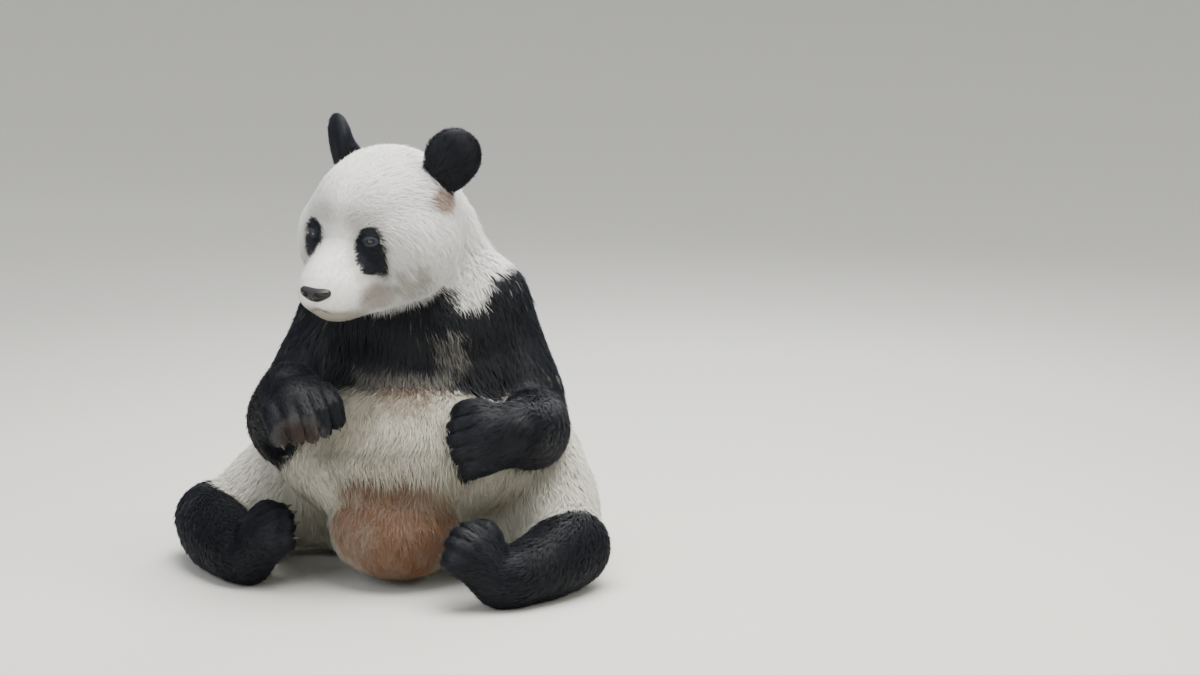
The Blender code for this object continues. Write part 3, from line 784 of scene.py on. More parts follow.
def rough_hide():
    """The mesh of all forms as overlapping balls, shrunk by the coat's depth and fused by a voxel remesh."""
    sphere, sphere_faces = sphere_grid(28, 18)
    points, faces = [], []

    def add(at, radii, turn):
        start = len(points) * len(sphere)
        points.append(sphere * radii @ turn.T + at)
        faces.extend([[start + i for i in face] for face in sphere_faces])

    for form in forms:
        depth = form["values"][0]
        if form["kind"] == "ball":
            add(form["at"], form["radii"] - depth, form["turn"])
        else:
            for x, y, z, radius in form["line"]:
                add((x, y, z), np.full(3, radius - depth), np.eye(3))
    mesh = bpy.data.meshes.new("hide")
    mesh.from_pydata(np.vstack(points).tolist(), [], faces)
    holder = bpy.data.objects.new("hide", mesh)
    bpy.context.scene.collection.objects.link(holder)
    remesh = holder.modifiers.new("fuse", "REMESH")
    remesh.mode = "VOXEL"
    remesh.voxel_size = SKIN_VOXEL
    smooth = holder.modifiers.new("even", "SMOOTH")
    smooth.iterations = 4
    graph = bpy.context.evaluated_depsgraph_get()
    made = bpy.data.meshes.new_from_object(holder.evaluated_get(graph), depsgraph=graph)
    bpy.data.objects.remove(holder)
    return made


def points_of(mesh):
    points = np.empty(len(mesh.vertices) * 3, np.float32)
    mesh.vertices.foreach_get("co", points)
    return points.reshape(-1, 3).astype(float)


def set_points(mesh, points):
    mesh.vertices.foreach_set("co", points.astype(np.float32).ravel())
    mesh.update()


def drawn_on(points, passes=4):
    """Points moved along the field's outward direction until their height over the skin is zero."""
    for _ in range(passes):
        height, values, _ = body_field(points)
        points = points - values[:, OUT] * np.clip(height, -0.008, 0.008)[:, None]
    points[:, 2] = np.maximum(points[:, 2], FLOOR_CLEAR)
    return points


def refined(mesh, spots):
    """The mesh with its faces near each (reach, point) of the head's frame halved, then halved again."""
    work = bmesh.new()
    work.from_mesh(mesh)
    for scale in (1.0, 0.8):
        edges = set()
        for reach, at in spots:
            near = placed(at, HEAD_CENTRE, HEAD_AXES)
            for edge in work.edges:
                middle = (edge.verts[0].co + edge.verts[1].co) / 2
                if (middle - Vector(near)).length < reach * scale:
                    edges.add(edge)
        bmesh.ops.subdivide_edges(work, edges=list(edges), cuts=1, use_grid_fill=True)
        bmesh.ops.triangulate(work, faces=[face for face in work.faces if len(face.verts) > 4])
    bmesh.ops.triangulate(work, faces=work.faces)
    work.to_mesh(mesh)
    work.free()
    return mesh


def eye_axes(s):
    """An eye's own axes in the head's frame, as columns: outward across the face, out of the eye, and up."""
    return turn_about("Z", EYE_TURN * s) @ turn_about("X", math.radians(4))


def lid_place(head, s):
    """For points of the head's frame: their place in the eye's frame, and how far out of its opening."""
    own = (head - EYE_PLACE * (s, 1, 1)) @ eye_axes(s)
    across = own[:, 0] * s / LID_HALF_WIDTH
    opening = across**2 + (own[:, 2] / LID_HALF_HEIGHT) ** 2
    return own, np.sqrt(opening)


def mouth_distance(head):
    """Distance from points to the line of the mouth, on both sides."""
    line = curve_through(np.column_stack([MOUTH_LINE, np.zeros(len(MOUTH_LINE))]), 24)[:, :3]
    mirrored = one_side(head)
    best = np.full(len(head), 1.0)
    for low, high in zip(line, line[1:]):
        axis = high - low
        t = np.clip((mirrored - low) @ axis / (axis @ axis), 0, 1)
        best = np.minimum(best, np.linalg.norm(mirrored - low - t[:, None] * axis, axis=1))
    return best


def sculpted(points, out):
    """Folds of the skin: each adds or takes height along the outward direction, by exp(-(d / width)^2)."""
    head = in_head(points)
    lift = -0.0060 * np.exp(-(mouth_distance(head) / 0.0034) ** 2)
    low_front = (head[:, 1] < -0.19) & (head[:, 2] > -0.106) & (head[:, 2] < -0.078)
    lift -= 0.0028 * np.exp(-(head[:, 0] / 0.0028) ** 2) * low_front
    furrow = np.exp(-(head[:, 0] / 0.010) ** 2) * soft_step(-head[:, 1], 0.0, 0.05)
    lift -= 0.0015 * furrow * soft_step(head[:, 2], 0.03, 0.07)
    points = points + out * lift[:, None]
    for s in SIDES.values():
        own, opening = lid_place(head, s)
        near = (np.abs(own) < 0.026).all(1) & (own[:, 1] < 0.004)
        radius = np.linalg.norm(own, axis=1)
        rim = EYE_RADIUS + 0.0016
        crease = 0.0010 * np.exp(-((opening - 1.9) / 0.22) ** 2)
        inside = soft_step(1.06 - opening, 0.0, 0.12)
        folded = inside * (EYE_RADIUS * 0.62) + (1 - inside) * np.maximum(radius, rim) - crease
        target = np.where(near, folded, radius)
        edge = 0.0009 * np.exp(-((opening - 1.22) / 0.13) ** 2) * near
        moved = own * ((target + edge) / (radius + 1e-9))[:, None]
        moved = placed(moved @ eye_axes(s).T + EYE_PLACE * (s, 1, 1), HEAD_CENTRE, HEAD_AXES)
        points = np.where(near[:, None], moved, points)
    for s in SIDES.values():
        turn = HEAD_AXES @ turn_about("Z", EAR_TURN * s) @ turn_about("Y", EAR_LEAN * s)
        own = (points - placed(EAR_PLACE * (s, 1, 1), HEAD_CENTRE, HEAD_AXES)) @ turn
        cup = np.exp(-(own[:, 0] / 0.030) ** 2 - ((own[:, 2] + 0.006) / 0.034) ** 2)
        front = (own[:, 1] < 0.002) & (own[:, 1] > -0.03)
        front &= (np.abs(own[:, 0]) < 0.07) & (np.abs(own[:, 2]) < 0.08)
        points = points + np.where(front, 0.009 * cup, 0)[:, None] * turn[:, 1]
    return points


hide = rough_hide()
set_points(hide, drawn_on(points_of(hide)))
hide = refined(hide, FACE_FINE)
skin_points = drawn_on(points_of(hide), 3)
_, skin_values, skin_owner = body_field(skin_points)
skin_points = sculpted(skin_points, skin_values[:, OUT])
skin_points[:, 2] = np.maximum(skin_points[:, 2], FLOOR_CLEAR)
set_points(hide, skin_points)
hide.shade_smooth()
skin_marks = coat_marks(skin_points, skin_values)


def store(mesh, name, values):
    """Keeps three numbers for each point as an attribute that a material reads."""
    attribute = mesh.attributes.new(name, "FLOAT_VECTOR", "POINT")
    attribute.data.foreach_set("vector", np.ascontiguousarray(values, dtype=np.float32).ravel())


lips = np.exp(-(mouth_distance(in_head(skin_points)) / 0.0050) ** 2)
lids = np.zeros(len(skin_points))
for s in SIDES.values():
    own, opening = lid_place(in_head(skin_points), s)
    lids = np.maximum(lids, soft_step(1.9 - opening, 0, 0.6) * (np.linalg.norm(own, axis=1) < 0.03))
store(hide, "marks_a", skin_marks[:, :3])
store(hide, "marks_b", skin_marks[:, 3:])
store(hide, "tuft", np.column_stack([np.full(len(skin_points), 0.5), np.full(len(skin_points), 0.5), lips]))
store(hide, "rims", np.column_stack([lips, lids, lids]))

# Hair and hide share their colours. Panda hair is coarse, matt and slightly oily: white hair scatters light,
# black hair has a blue-grey sheen along its length. Towards the root it is yellower, as the underfur is,
# and darker with painted shade, where the hairs shade one another.

# Grey also paints shade on the face; the greyed black paints shade in the belly's folds and between its
# locks.
WHITE_HAIR, CREAM_HAIR, GREY_HAIR = "#f6f5f1", "#dedac8", "#a09a88"
FADED_HAIR_AND_SHADE, RUST_HAIR, BLACK_HAIR = "#575550", "#795239", "#080b12"
ROOT_TINT_AND_SHADE, BARE_PAD, LIP_SKIN, LID_SKIN = "#cfc6b2", "#4a3f40", "#2b2426", "#30333b"


def blended(tree, share, base, over, mode="MIX"):
    """One colour over another by a share: a colour mix node's result."""
    mix = add_node(tree, "ShaderNodeMix", {0: share, 6: base, 7: over}, data_type="RGBA", blend_type=mode)
    return mix.outputs[2]


def hair_colour(tree):
    """The marks as colours, laid over one another from white to black, then varied by tuft and along it."""
    part = {}
    held = {"marks_a": "black rust grey", "marks_b": "cream faded bare", "tuft": "along chance lip"}
    for name, fields in held.items():
        read = add_node(tree, "ShaderNodeAttribute", attribute_name=name)
        split = add_node(tree, "ShaderNodeSeparateXYZ", {0: read.outputs["Vector"]})
        part.update(zip(fields.split(), split.outputs))
    colour = blended(tree, part["cream"], linear(WHITE_HAIR), linear(CREAM_HAIR))
    colour = blended(tree, part["grey"], colour, linear(GREY_HAIR))
    colour = blended(tree, part["faded"], colour, linear(FADED_HAIR_AND_SHADE))
    colour = blended(tree, part["rust"], colour, linear(RUST_HAIR))
    # Towards the root: the underfur's yellow, with painted shade of the hairs over it.
    rootward = add_node(tree, "ShaderNodeMapRange", {0: part["along"], 1: 0.0, 2: 0.6, 3: 0.5, 4: 0.0})
    colour = blended(tree, rootward.outputs[0], colour, linear(ROOT_TINT_AND_SHADE), "MULTIPLY")
    colour = blended(tree, part["black"], colour, linear(BLACK_HAIR))
    spread = add_node(tree, "ShaderNodeMapRange", {0: part["chance"], 1: 0.0, 2: 1.0, 3: 0.91, 4: 1.07})
    shade = add_node(tree, "ShaderNodeCombineXYZ", {k: spread.outputs[0] for k in range(3)})
    colour = blended(tree, 1.0, colour, shade.outputs[0], "MULTIPLY")
    return colour, part


# Hair: keratin with an IOR of 1.55. Each tuft is a lock of many hairs, and light passes a few mm into it.
hair, tree, shader = new_material("panda_hair_keratin", IOR=1.55, Specular_IOR_Level=0.24)
shader.inputs["Subsurface Weight"].default_value = 0.4
shader.inputs["Subsurface Scale"].default_value = 0.004
shader.inputs["Subsurface Radius"].default_value = (1.0, 0.85, 0.7)
colour, part = hair_colour(tree)
tree.links.new(colour, shader.inputs["Base Color"])
gloss = add_node(tree, "ShaderNodeMapRange", {0: part["black"], 1: 0.0, 2: 1.0, 3: 0.72, 4: 0.48})
tree.links.new(gloss.outputs[0], shader.inputs["Roughness"])

# Hide: under the coat it carries the short underfur's colour; on pads, lids and lips it is bare leather with
# a pebbled grain of about 1.5 mm.
leather, tree, shader = new_material("furred_hide", IOR=1.45, Specular_IOR_Level=0.3)
colour, part = hair_colour(tree)
place = add_node(tree, "ShaderNodeTexCoord").outputs["Object"]
blotch = add_node(tree, "ShaderNodeTexNoise", {"Vector": place, "Scale": 60.0, "Detail": 4.0})
pad = blended(tree, blotch.outputs["Fac"], linear(BARE_PAD), linear("#6f5a58"))
colour = blended(tree, part["bare"], colour, pad)
rims = add_node(tree, "ShaderNodeAttribute", attribute_name="rims").outputs["Vector"]
rims = add_node(tree, "ShaderNodeSeparateXYZ", {0: rims})
colour = blended(tree, rims.outputs[0], colour, linear(LIP_SKIN))
colour = blended(tree, rims.outputs[1], colour, linear(LID_SKIN))
tree.links.new(colour, shader.inputs["Base Color"])
gloss = add_node(tree, "ShaderNodeMapRange", {0: part["lip"], 1: 0.0, 2: 1.0, 3: 0.75, 4: 0.42})
tree.links.new(gloss.outputs[0], shader.inputs["Roughness"])
grain = add_node(tree, "ShaderNodeTexVoronoi", {"Vector": place, "Scale": 650.0})
hairs = add_node(tree, "ShaderNodeTexNoise", {"Vector": place, "Scale": 420.0, "Detail": 3.0})
heights = {0: part["bare"], 2: hairs.outputs["Fac"], 3: grain.outputs["Distance"]}
pebbles = add_node(tree, "ShaderNodeMix", heights)
bump = add_node(tree, "ShaderNodeBump", {"Height": pebbles.outputs[0], "Strength": 0.5, "Distance": 0.001})
tree.links.new(bump.outputs["Normal"], shader.inputs["Normal"])

flesh = [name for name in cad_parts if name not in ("nose", "eye_left", "eye_right")]
new_piece("skin", hide, leather, "white_coat", *flesh)

# The coat: solid tufts rooted in the skin. Each is a three-sided spindle, pointed at both ends, that rises
# from its root and levels off under the coat's outside, combed along the lie and drawn into locks.

COAT_SORTS = {  # coat: (mean distance between roots, tuft width)
    "face": (0.0019, 0.0009),
    "head": (0.0023, 0.0013),
    "ear": (0.0022, 0.0012),
    "neck": (0.0029, 0.0018),
    "chest": (0.0032, 0.0018),
    "back": (0.0038, 0.0023),
    "belly": (0.0029, 0.0017),
    "rump": (0.0039, 0.0024),
    "thigh": (0.0034, 0.0021),
    "upper_arm": (0.0030, 0.0018),
    "forearm": (0.0029, 0.0017),
    "forepaw": (0.0025, 0.0014),
    "shank": (0.0030, 0.0018),
    "hind_paw": (0.0026, 0.0014),
}
PATCH = 0.003  # each tuft's patch of the bake map
ROOT_SINK = 0.0012  # how deep a tuft's root lies in the skin
WAIST = 0.5**1.3  # how far along a tuft its widest place is
LEAST_RISE = 0.0012  # the least depth of coat that a tuft's rise is worked out from
FULL_DROOP = 0.75  # how strongly hair of 30 mm or more hangs
TUFT_FLOOR = 0.0002  # the coat's lowest points, over the floor
chance = np.random.default_rng(7)


def turned_about(vectors, axes, angles):
    """Vectors turned about unit axes: v cos + (axis x v) sin, for vectors at right angles to their axis."""
    return vectors * np.cos(angles)[:, None] + np.cross(axes, vectors) * np.sin(angles)[:, None]


def lock_middle(points, size, seed):
    """The nearest middle of a lock: one jittered point in each cell of a lattice, the nearest of 27 cells."""
    cell = np.floor(points / size).astype(np.int64)
    best = np.full(len(points), np.inf)
    found = np.zeros_like(points)
    for step in np.ndindex(3, 3, 3):
        near = cell + (np.array(step) - 1)
        middle = np.stack([hashed(*near.T, seed + k) for k in range(3)], axis=1)
        middle = (near + middle) * size
        away = ((points - middle) ** 2).sum(1)
        closer = away < best
        best = np.where(closer, away, best)
        found[closer] = middle[closer]
    return found


def combed(roots, height, values, length, rise, lock):
    """Root, waist and tip of each tuft: steps along the flow, each set at h (1 - 0.6 s) + r (1 - (1 - s)^1.7)
    over the skin, with h the root's height and r the rise; then all are drawn to the middle of their lock."""
    out = values[:, OUT]
    droop = np.clip(values[:, HAIR] / 0.030, 0, 1)[:, None] * (0, 0, -FULL_DROOP)
    flow = flattened(values[:, LIE] + droop, out)
    sway = 0.30 * noise(roots, 0.045, 11) + 0.16 * noise(roots, 0.012, 12)
    sway = sway * (1 + 0.8 * np.clip(values[:, HAIR] / 0.010 - 4.2, 0, 1))
    sway += 0.13 * chance.standard_normal(len(roots))
    flow = turned_about(flow, out, sway)
    shares = (0.0, WAIST, 1.0)
    place = roots - out * ROOT_SINK
    stations, outs = [place], [out]
    for before, s in zip(shares, shares[1:]):
        place = place + flow * (length * (s - before) * 0.93)[:, None]
        over, near, _ = body_field(place)
        out = near[:, OUT]
        target = height * (1 - 0.6 * s) + rise * (1 - (1 - s) ** 1.7)
        place = place + out * np.clip(target - over, -0.02, 0.02)[:, None]
        there = flattened(near[:, LIE] + droop, out)
        flow = unit(flattened(flow, out) + 0.6 * turned_about(there, out, sway))
        stations.append(place)
        outs.append(out)
    for size, seed, strength in lock:
        pull = lock_middle(roots, size, seed) - roots
        pull -= (pull * outs[0]).sum(1, keepdims=True) * outs[0]
        for k, s in enumerate(shares):
            stations[k] = stations[k] + pull * (strength * s**1.5)
    stations = np.stack(stations, axis=1)
    stations[:, :, 2] = np.maximum(stations[:, :, 2], 0.0006)
    return stations, np.stack(outs, axis=1)


def spindles(stations, outs, width):
    """Closed tufts of six triangles: a root, three points round the waist, two beside it and one on top, and
    a tip. Their normals lean to the skin's, so that the coat is lit as one."""
    root, waist, tip = stations.transpose(1, 0, 2)
    along = unit(tip - root)
    roll = chance.uniform(-0.9, 0.9, len(root))
    up = unit(outs[:, 1] - (outs[:, 1] * along).sum(1, keepdims=True) * along)
    up = turned_about(up, along, roll)
    side = np.cross(along, up)
    half = (width * 0.5)[:, None]
    flat = up * half * 0.25
    ring = np.stack([-side * half - flat, side * half - flat, up * half * 0.8], axis=1)
    points = np.concatenate([stations[:, :1], waist[:, None] + ring, stations[:, 2:]], axis=1)
    leaning = unit(outs[:, 1][:, None] * 3.2 + unit(ring))
    normals = np.concatenate([outs[:, :1], leaning, outs[:, 2:]], axis=1)
    points[:, :, 2] = np.maximum(points[:, :, 2], TUFT_FLOOR)
    faces, patches = [], []
    for j in range(3):
        a, b = 1 + j, 1 + (j + 1) % 3
        left, right = j / 3, (j + 1) / 3
        middle = (left + right) / 2
        faces += [(0, a, b), (a, 4, b)]
        patches += [(middle, 0.0, left, 0.4, right, 0.4), (left, 0.4, middle, 1.0, right, 0.4)]
    return points, normals, np.array(faces), np.array(patches).reshape(-1, 3, 2)


def unwrapped(points, centre, axes, lengthways):
    """Each root's place on its form's own unwrap: the angle round the form's axis, and the way along it, for
    a limb, or the angle up from below, for a ball."""
    own = (points - centre) @ axes
    u = np.arctan2(own[:, 0], -own[:, 1]) / (2 * math.pi) + 0.5
    if lengthways:
        v = (own[:, 2] - own[:, 2].min()) / (np.ptp(own[:, 2]) + 1e-9)
    else:
        v = np.arccos(np.clip(-own[:, 2] / (np.linalg.norm(own, axis=1) + 1e-9), -1, 1)) / math.pi
    return np.clip(np.stack([u, v], axis=1), 0, 1) * (1 - PATCH)


def grow(name, roots, height, values, marks, sort, slot, unwrap):
    """One stretch of coat as one mesh, from its roots."""
    _, width = COAT_SORTS[sort]
    count = len(roots)
    length = values[:, HAIR] * chance.uniform(0.70, 1.12, count) * (1 + 0.15 * noise(roots, 0.03, 21))
    rise = np.maximum(values[:, DEPTH], LEAST_RISE) * (0.30 + 0.70 * chance.random(count) ** 0.7)
    rise *= np.where(chance.random(count) < 0.06, 1.4, 1.0)
    size = 0.006 + 0.22 * float(np.mean(values[:, HAIR]))
    drawn = min(0.22 + 8 * float(np.mean(values[:, HAIR])), 0.60)
    lock = [(size, 31, drawn), (size * 0.45, 41, 0.30)]
    stations, outs = combed(roots, height, values, length, rise, lock)
    wide = width * chance.uniform(0.75, 1.25, count) * np.clip(length / np.median(length), 0.4, 1.1)
    points, normals, faces, patches = spindles(stations, outs, wide)
    per = points.shape[1]
    corners = (faces[None] + (np.arange(count) * per)[:, None, None]).astype(np.int32)
    mesh = bpy.data.meshes.new(name)
    mesh.vertices.add(count * per)
    mesh.vertices.foreach_set("co", points.astype(np.float32).ravel())
    mesh.loops.add(corners.size)
    mesh.loops.foreach_set("vertex_index", corners.ravel())
    mesh.polygons.add(corners.size // 3)
    mesh.polygons.foreach_set("loop_start", np.arange(0, corners.size, 3, dtype=np.int32))
    mesh.update(calc_edges=True)
    base = unwrapped(roots, *unwrap)
    places = base[:, None, None] + patches[None] * PATCH
    bake = mesh.uv_layers.new(name="OFBake")
    bake.data.foreach_set("uv", places.astype(np.float32).ravel())
    store(mesh, "marks_a", np.repeat(marks[:, :3], per, axis=0))
    store(mesh, "marks_b", np.repeat(marks[:, 3:], per, axis=0))
    tuft = np.empty((count, per, 3))
    tuft[:, :, 0] = (0.0, 0.5, 0.5, 0.5, 1.0)
    tuft[:, :, 1] = (0.5 + 0.25 * noise(roots, 0.02, 51) + 0.25 * chance.uniform(-1, 1, count))[:, None]
    tuft[:, :, 2] = 0
    store(mesh, "tuft", tuft)
    mesh.shade_smooth()
    mesh.normals_split_custom_set_from_vertices(normals.reshape(-1, 3).astype(np.float32))
    new_piece(name, mesh, hair, slot)


FACE_FRONT, FACE_TOP = -0.055, 0.075  # the face's shorter coat begins here, in the head's frame
NOSE_REACH = (0.0335, 0.024, 0.0185)  # no hair grows this near the nose's middle
corner = np.empty(len(hide.polygons) * 3, np.int32)
hide.loops.foreach_get("vertex_index", corner)
corner = corner.reshape(-1, 3)
a, b, c = (skin_points[corner[:, k]] for k in range(3))
cross = np.cross(b - a, c - a)
area = np.linalg.norm(cross, axis=1) / 2
middle = (a + b + c) / 3
coat_names = np.array([form["coat"] for form in forms])
coat = coat_names[skin_owner[corner[:, 0]]]
head_middle = in_head(middle)
in_face = (head_middle[:, 1] < FACE_FRONT) & (head_middle[:, 2] < FACE_TOP)
coat = np.where((coat == "head") & in_face, "face", coat)
coat = np.where(coat == "pads", "", coat)
haired = skin_values[corner[:, 0], BARE] < 0.45
haired &= (middle[:, 2] > FLOOR_CLEAR + 0.001) & (mouth_distance(head_middle) > 0.0030)
haired &= within(head_middle, NOSE_PLACE, NOSE_REACH) < 0
for s in SIDES.values():
    own, opening = lid_place(head_middle, s)
    haired &= ~((opening < 1.50) & (np.linalg.norm(own, axis=1) < 0.03))
LIMB_SORTS = ("upper_arm", "forearm", "forepaw", "thigh", "shank", "hind_paw")
CREAM_SORTS = ("belly", "rump", "thigh", "back")
for sort, (spacing, _) in COAT_SORTS.items():
    for side, s in SIDES.items():
        here = (coat == sort) & haired & (np.where(s > 0, middle[:, 0], -middle[:, 0]) > 0)
        if sort in ("face", "head", "ear"):
            here = (coat == sort) & haired & (head_middle[:, 0] * s > 0)
        picked = np.flatnonzero(here)
        if not len(picked):
            continue
        weight = np.cumsum(area[picked])
        count = int(weight[-1] / spacing**2)
        at = (np.arange(count) + chance.random(count)) * weight[-1] / count
        triangle = picked[np.minimum(np.searchsorted(weight, at), len(picked) - 1)]
        u, v = chance.random((2, count))
        fold = u + v > 1
        u, v = np.where(fold, 1 - u, u), np.where(fold, 1 - v, v)
        roots = a[triangle] + u[:, None] * (b - a)[triangle] + v[:, None] * (c - a)[triangle]
        height, values, _ = body_field(roots)
        marks = coat_marks(roots, values)
        centre = roots.mean(0)
        axes, lengthways = np.eye(3), sort in ("neck", "chest", "back", "belly", "rump")
        if sort in LIMB_SORTS:
            spread = np.linalg.svd(roots - centre, full_matrices=False)[2]
            axes, lengthways = spread[[1, 2, 0]].T, True
        elif sort in ("face", "head"):
            centre, axes = HEAD_CENTRE, HEAD_AXES
        slot = "cream_coat" if sort in CREAM_SORTS else "white_coat"
        if sort in DARK_COATS + ("chest",):
            slot = "black_coat"
        unwrap = (centre, axes, lengthways)
        grow(f"coat_{sort}_{side}", roots, height, values, marks, sort, slot, unwrap)

# The eyes: small dark brown balls with a wet cornea that stands out a little over the iris.

EYE_SINK = 0.0010  # behind the place of the eye's own solid
CORNEA = math.radians(38)


def eye_mesh(name, s):
    """A ball on a grid of the angle a from its gaze and the angle round it; a bulge of 1 - (a / A)^2."""
    sphere, faces = sphere_grid(48, 40)
    angle = np.arccos(np.clip(sphere[:, 2], -1, 1))
    bulge = 0.0010 * np.clip(1 - (angle / CORNEA) ** 2, 0, 1)
    points = sphere * (EYE_RADIUS - 0.0006 + bulge)[:, None]
    points = np.stack([points[:, 0], points[:, 2], -points[:, 1]], axis=1) * (1, -1, 1)
    points = points @ eye_axes(s).T + EYE_PLACE * (s, 1, 1) + eye_axes(s)[:, 1] * EYE_SINK
    mesh = bpy.data.meshes.new(name)
    mesh.from_pydata(placed(points, HEAD_CENTRE, HEAD_AXES).tolist(), [], [face[::-1] for face in faces])
    mesh.shade_smooth()
    around = np.arctan2(sphere[:, 1], sphere[:, 0])
    store(mesh, "gaze", np.stack([angle / math.pi, np.cos(around), np.sin(around)], axis=1))
    return mesh


# Cornea and iris: wet, so a clear coat of IOR 1.38 over a brown iris with radial fibres and a black pupil.
wet = {"Roughness": 0.25, "Coat_Weight": 1.0, "Coat_Roughness": 0.03, "Coat_IOR": 1.38}
eye_gloss, tree, shader = new_material("wet_cornea_and_iris", **wet)
gaze = add_node(tree, "ShaderNodeAttribute", attribute_name="gaze").outputs["Vector"]
split = add_node(tree, "ShaderNodeSeparateXYZ", {0: gaze})
fibres = add_node(tree, "ShaderNodeTexNoise", {"Vector": gaze, "Scale": 9.0, "Detail": 4.0})
iris = blended(tree, fibres.outputs["Fac"], linear("#0c0705"), linear("#2a1b12"))
to_pupil = add_node(tree, "ShaderNodeMapRange", {0: split.outputs[0], 1: 0.085, 2: 0.100, 3: 1.0, 4: 0.0})
to_white = add_node(tree, "ShaderNodeMapRange", {0: split.outputs[0], 1: 0.175, 2: 0.215, 3: 0.0, 4: 1.0})
colour = blended(tree, to_pupil.outputs[0], iris, linear("#030303"))
colour = blended(tree, to_white.outputs[0], colour, linear("#241a17"))
tree.links.new(colour, shader.inputs["Base Color"])
for name, s in SIDES.items():
    new_piece(f"eyeball_{name}", eye_mesh(f"eyeball_{name}", s), eye_gloss, "eye", f"eye_{name}")

# The nose: a bare leather pad, broad and flat above, narrow below, with two comma-shaped nostrils.


def nose_mesh():
    """An ellipsoid narrowed downward; each nostril is a dent of depth d exp(-r^2), with a slit outward."""
    sphere, faces = sphere_grid(120, 84)
    points = np.stack([sphere[:, 0], -sphere[:, 2], sphere[:, 1]], axis=1)
    lift = points[:, 2]
    points = np.sign(points) * np.abs(points) ** 0.92
    wide = 1.0 - 0.30 * soft_step(-lift, 0.1, 1.0)
    high = 0.0125 + 0.0080 * (lift < 0)
    points = points * np.stack([NOSE_HALF_WIDTH * wide, np.full(len(wide), 0.0200), high], axis=1)
    x, y, z = points.T
    front = np.clip(-y / 0.0200, 0, 1) ** 2
    for s in SIDES.values():
        hole = np.exp(-((x - 0.0120 * s) / 0.0050) ** 2 - ((z + 0.0010) / 0.0042) ** 2)
        slit = np.exp(-((z + 0.0030 + 0.0016 * ((x * s - 0.020) / 0.006) ** 2) / 0.0020) ** 2)
        slit *= soft_step(x * s, 0.012, 0.018) * soft_step(0.031 - x * s, 0.0, 0.006)
        y = y + (0.0080 * hole + 0.0042 * slit) * front
    y = y + 0.0018 * np.exp(-(x / 0.0018) ** 2) * front * soft_step(0.002 - z, 0.0, 0.006)
    z = z + soft_step(lift, 0.0, 0.8) * (0.0050 * np.clip(np.abs(x) / NOSE_HALF_WIDTH, 0, 1) ** 2 - 0.0035)
    points = np.stack([x, y, z], axis=1) + NOSE_PLACE + (0, 0.0008, -0.0012)
    mesh = bpy.data.meshes.new("nose_pad")
    mesh.from_pydata(placed(points, HEAD_CENTRE, HEAD_AXES).tolist(), [], faces)
    mesh.shade_smooth()
    return mesh


# Nose leather: black, damp, with a pebbled grain of about 1.2 mm.
damp_skin = {"IOR": 1.45, "Coat_Weight": 0.12, "Coat_Roughness": 0.25}
nose_leather, tree, shader = new_material("damp_nose_leather", **damp_skin)
place = add_node(tree, "ShaderNodeTexCoord").outputs["Object"]
pebble = add_node(tree, "ShaderNodeTexVoronoi", {"Vector": place, "Scale": 820.0}, feature="SMOOTH_F1")
worn = add_node(tree, "ShaderNodeTexNoise", {"Vector": place, "Scale": 70.0, "Detail": 3.0})
colour = blended(tree, worn.outputs["Fac"], linear("#070709"), linear("#141316"))
tree.links.new(colour, shader.inputs["Base Color"])
damp = add_node(tree, "ShaderNodeMapRange", {0: worn.outputs["Fac"], 1: 0.3, 2: 0.7, 3: 0.32, 4: 0.52})
tree.links.new(damp.outputs[0], shader.inputs["Roughness"])
relief_in = {"Height": pebble.outputs["Distance"], "Strength": 0.6, "Distance": 0.0006}
bump = add_node(tree, "ShaderNodeBump", relief_in, invert=True)
tree.links.new(bump.outputs["Normal"], shader.inputs["Normal"])
new_piece("nose_pad", nose_mesh(), nose_leather, "nose_skin", "nose")

# The claws: curved horn cones, flattened from side to side, one in the end of each digit.

CLAW_LENGTH, CLAW_RADIUS = 0.027, 0.0095


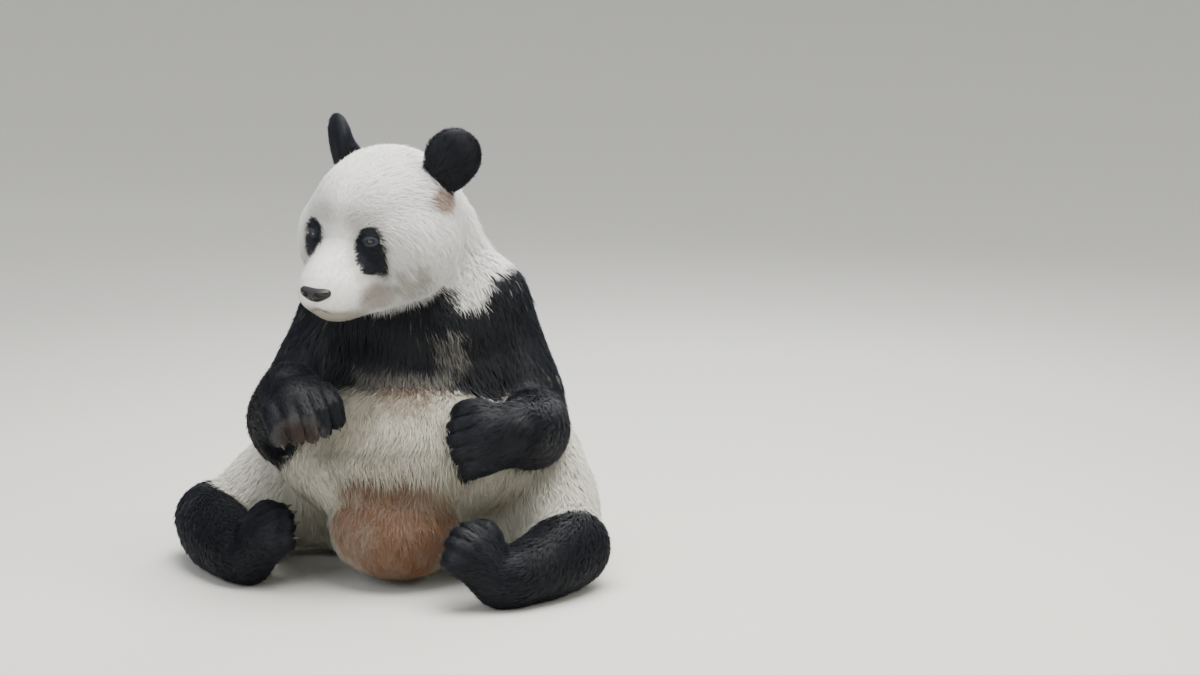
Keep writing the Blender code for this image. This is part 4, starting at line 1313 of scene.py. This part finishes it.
def claw_mesh(name, origin, axes, size):
    """A flattened round profile carried along a curved line, its radius going as (1 - t)^0.62 to a point."""
    around, along = 14, 12
    here, after = np.arange(around), (np.arange(around) + 1) % around
    t = np.linspace(0, 1, along)[:, None]
    angle = np.linspace(0, 2 * math.pi, around, endpoint=False)[None]
    points, faces, tones = [], [], []
    for line in digit_lines(size):
        x, y, z, _ = line[-1]
        radius = CLAW_RADIUS * (1 - t) ** 0.62 * 0.92 + 0.0003
        tilt = 0.20 + 1.20 * t
        ring = np.stack([
            x + radius * 0.72 * np.cos(angle),
            y + CLAW_LENGTH * t * 0.8 + radius * np.sin(angle) * 0.35 * tilt,
            z - CLAW_LENGTH * t * (0.20 + 0.60 * t) + radius * np.sin(angle),
        ], axis=-1).reshape(-1, 3)
        start = sum(len(p) for p in points)
        points.append(ring)
        tones.append(np.repeat(t, around))
        for k in range(along - 1):
            low = start + k * around
            faces += [[low + i, low + j, low + around + j, low + around + i] for i, j in zip(here, after)]
        faces.append(list(range(start + around - 1, start - 1, -1)))
        faces.append(list(range(start + (along - 1) * around, start + along * around)))
    mesh = bpy.data.meshes.new(name)
    mesh.from_pydata(placed(np.vstack(points), origin, axes).tolist(), [], faces)
    tones = np.concatenate(tones)
    store(mesh, "horn", np.stack([tones, tones, tones], axis=1))
    work = bmesh.new()
    work.from_mesh(mesh)
    bmesh.ops.recalc_face_normals(work, faces=work.faces)
    work.to_mesh(mesh)
    work.free()
    mesh.shade_smooth()
    return mesh


# Claw horn: keratin, dark where it leaves the toe and pale at the worn tip, polished along its length.
horn, tree, shader = new_material("claw_horn", IOR=1.55, Roughness=0.34)
read = add_node(tree, "ShaderNodeAttribute", attribute_name="horn")
split = add_node(tree, "ShaderNodeSeparateXYZ", {0: read.outputs["Vector"]})
place = add_node(tree, "ShaderNodeTexCoord").outputs["Object"]
streak = add_node(tree, "ShaderNodeTexNoise", {"Vector": place, "Scale": 300.0, "Detail": 2.0})
paler = add_node(tree, "ShaderNodeMapRange", {0: split.outputs[0], 1: 0.35, 2: 1.0, 3: 0.0, 4: 0.8})
colour = blended(tree, paler.outputs[0], linear("#161312"), linear("#3b342c"))
colour = blended(tree, 0.25, colour, streak.outputs["Color"], "MULTIPLY")
tree.links.new(colour, shader.inputs["Base Color"])
for name, (origin, axes, size) in paws.items():
    new_piece(f"claws_{name}", claw_mesh(f"claws_{name}", origin, axes, size), horn, "black_coat")
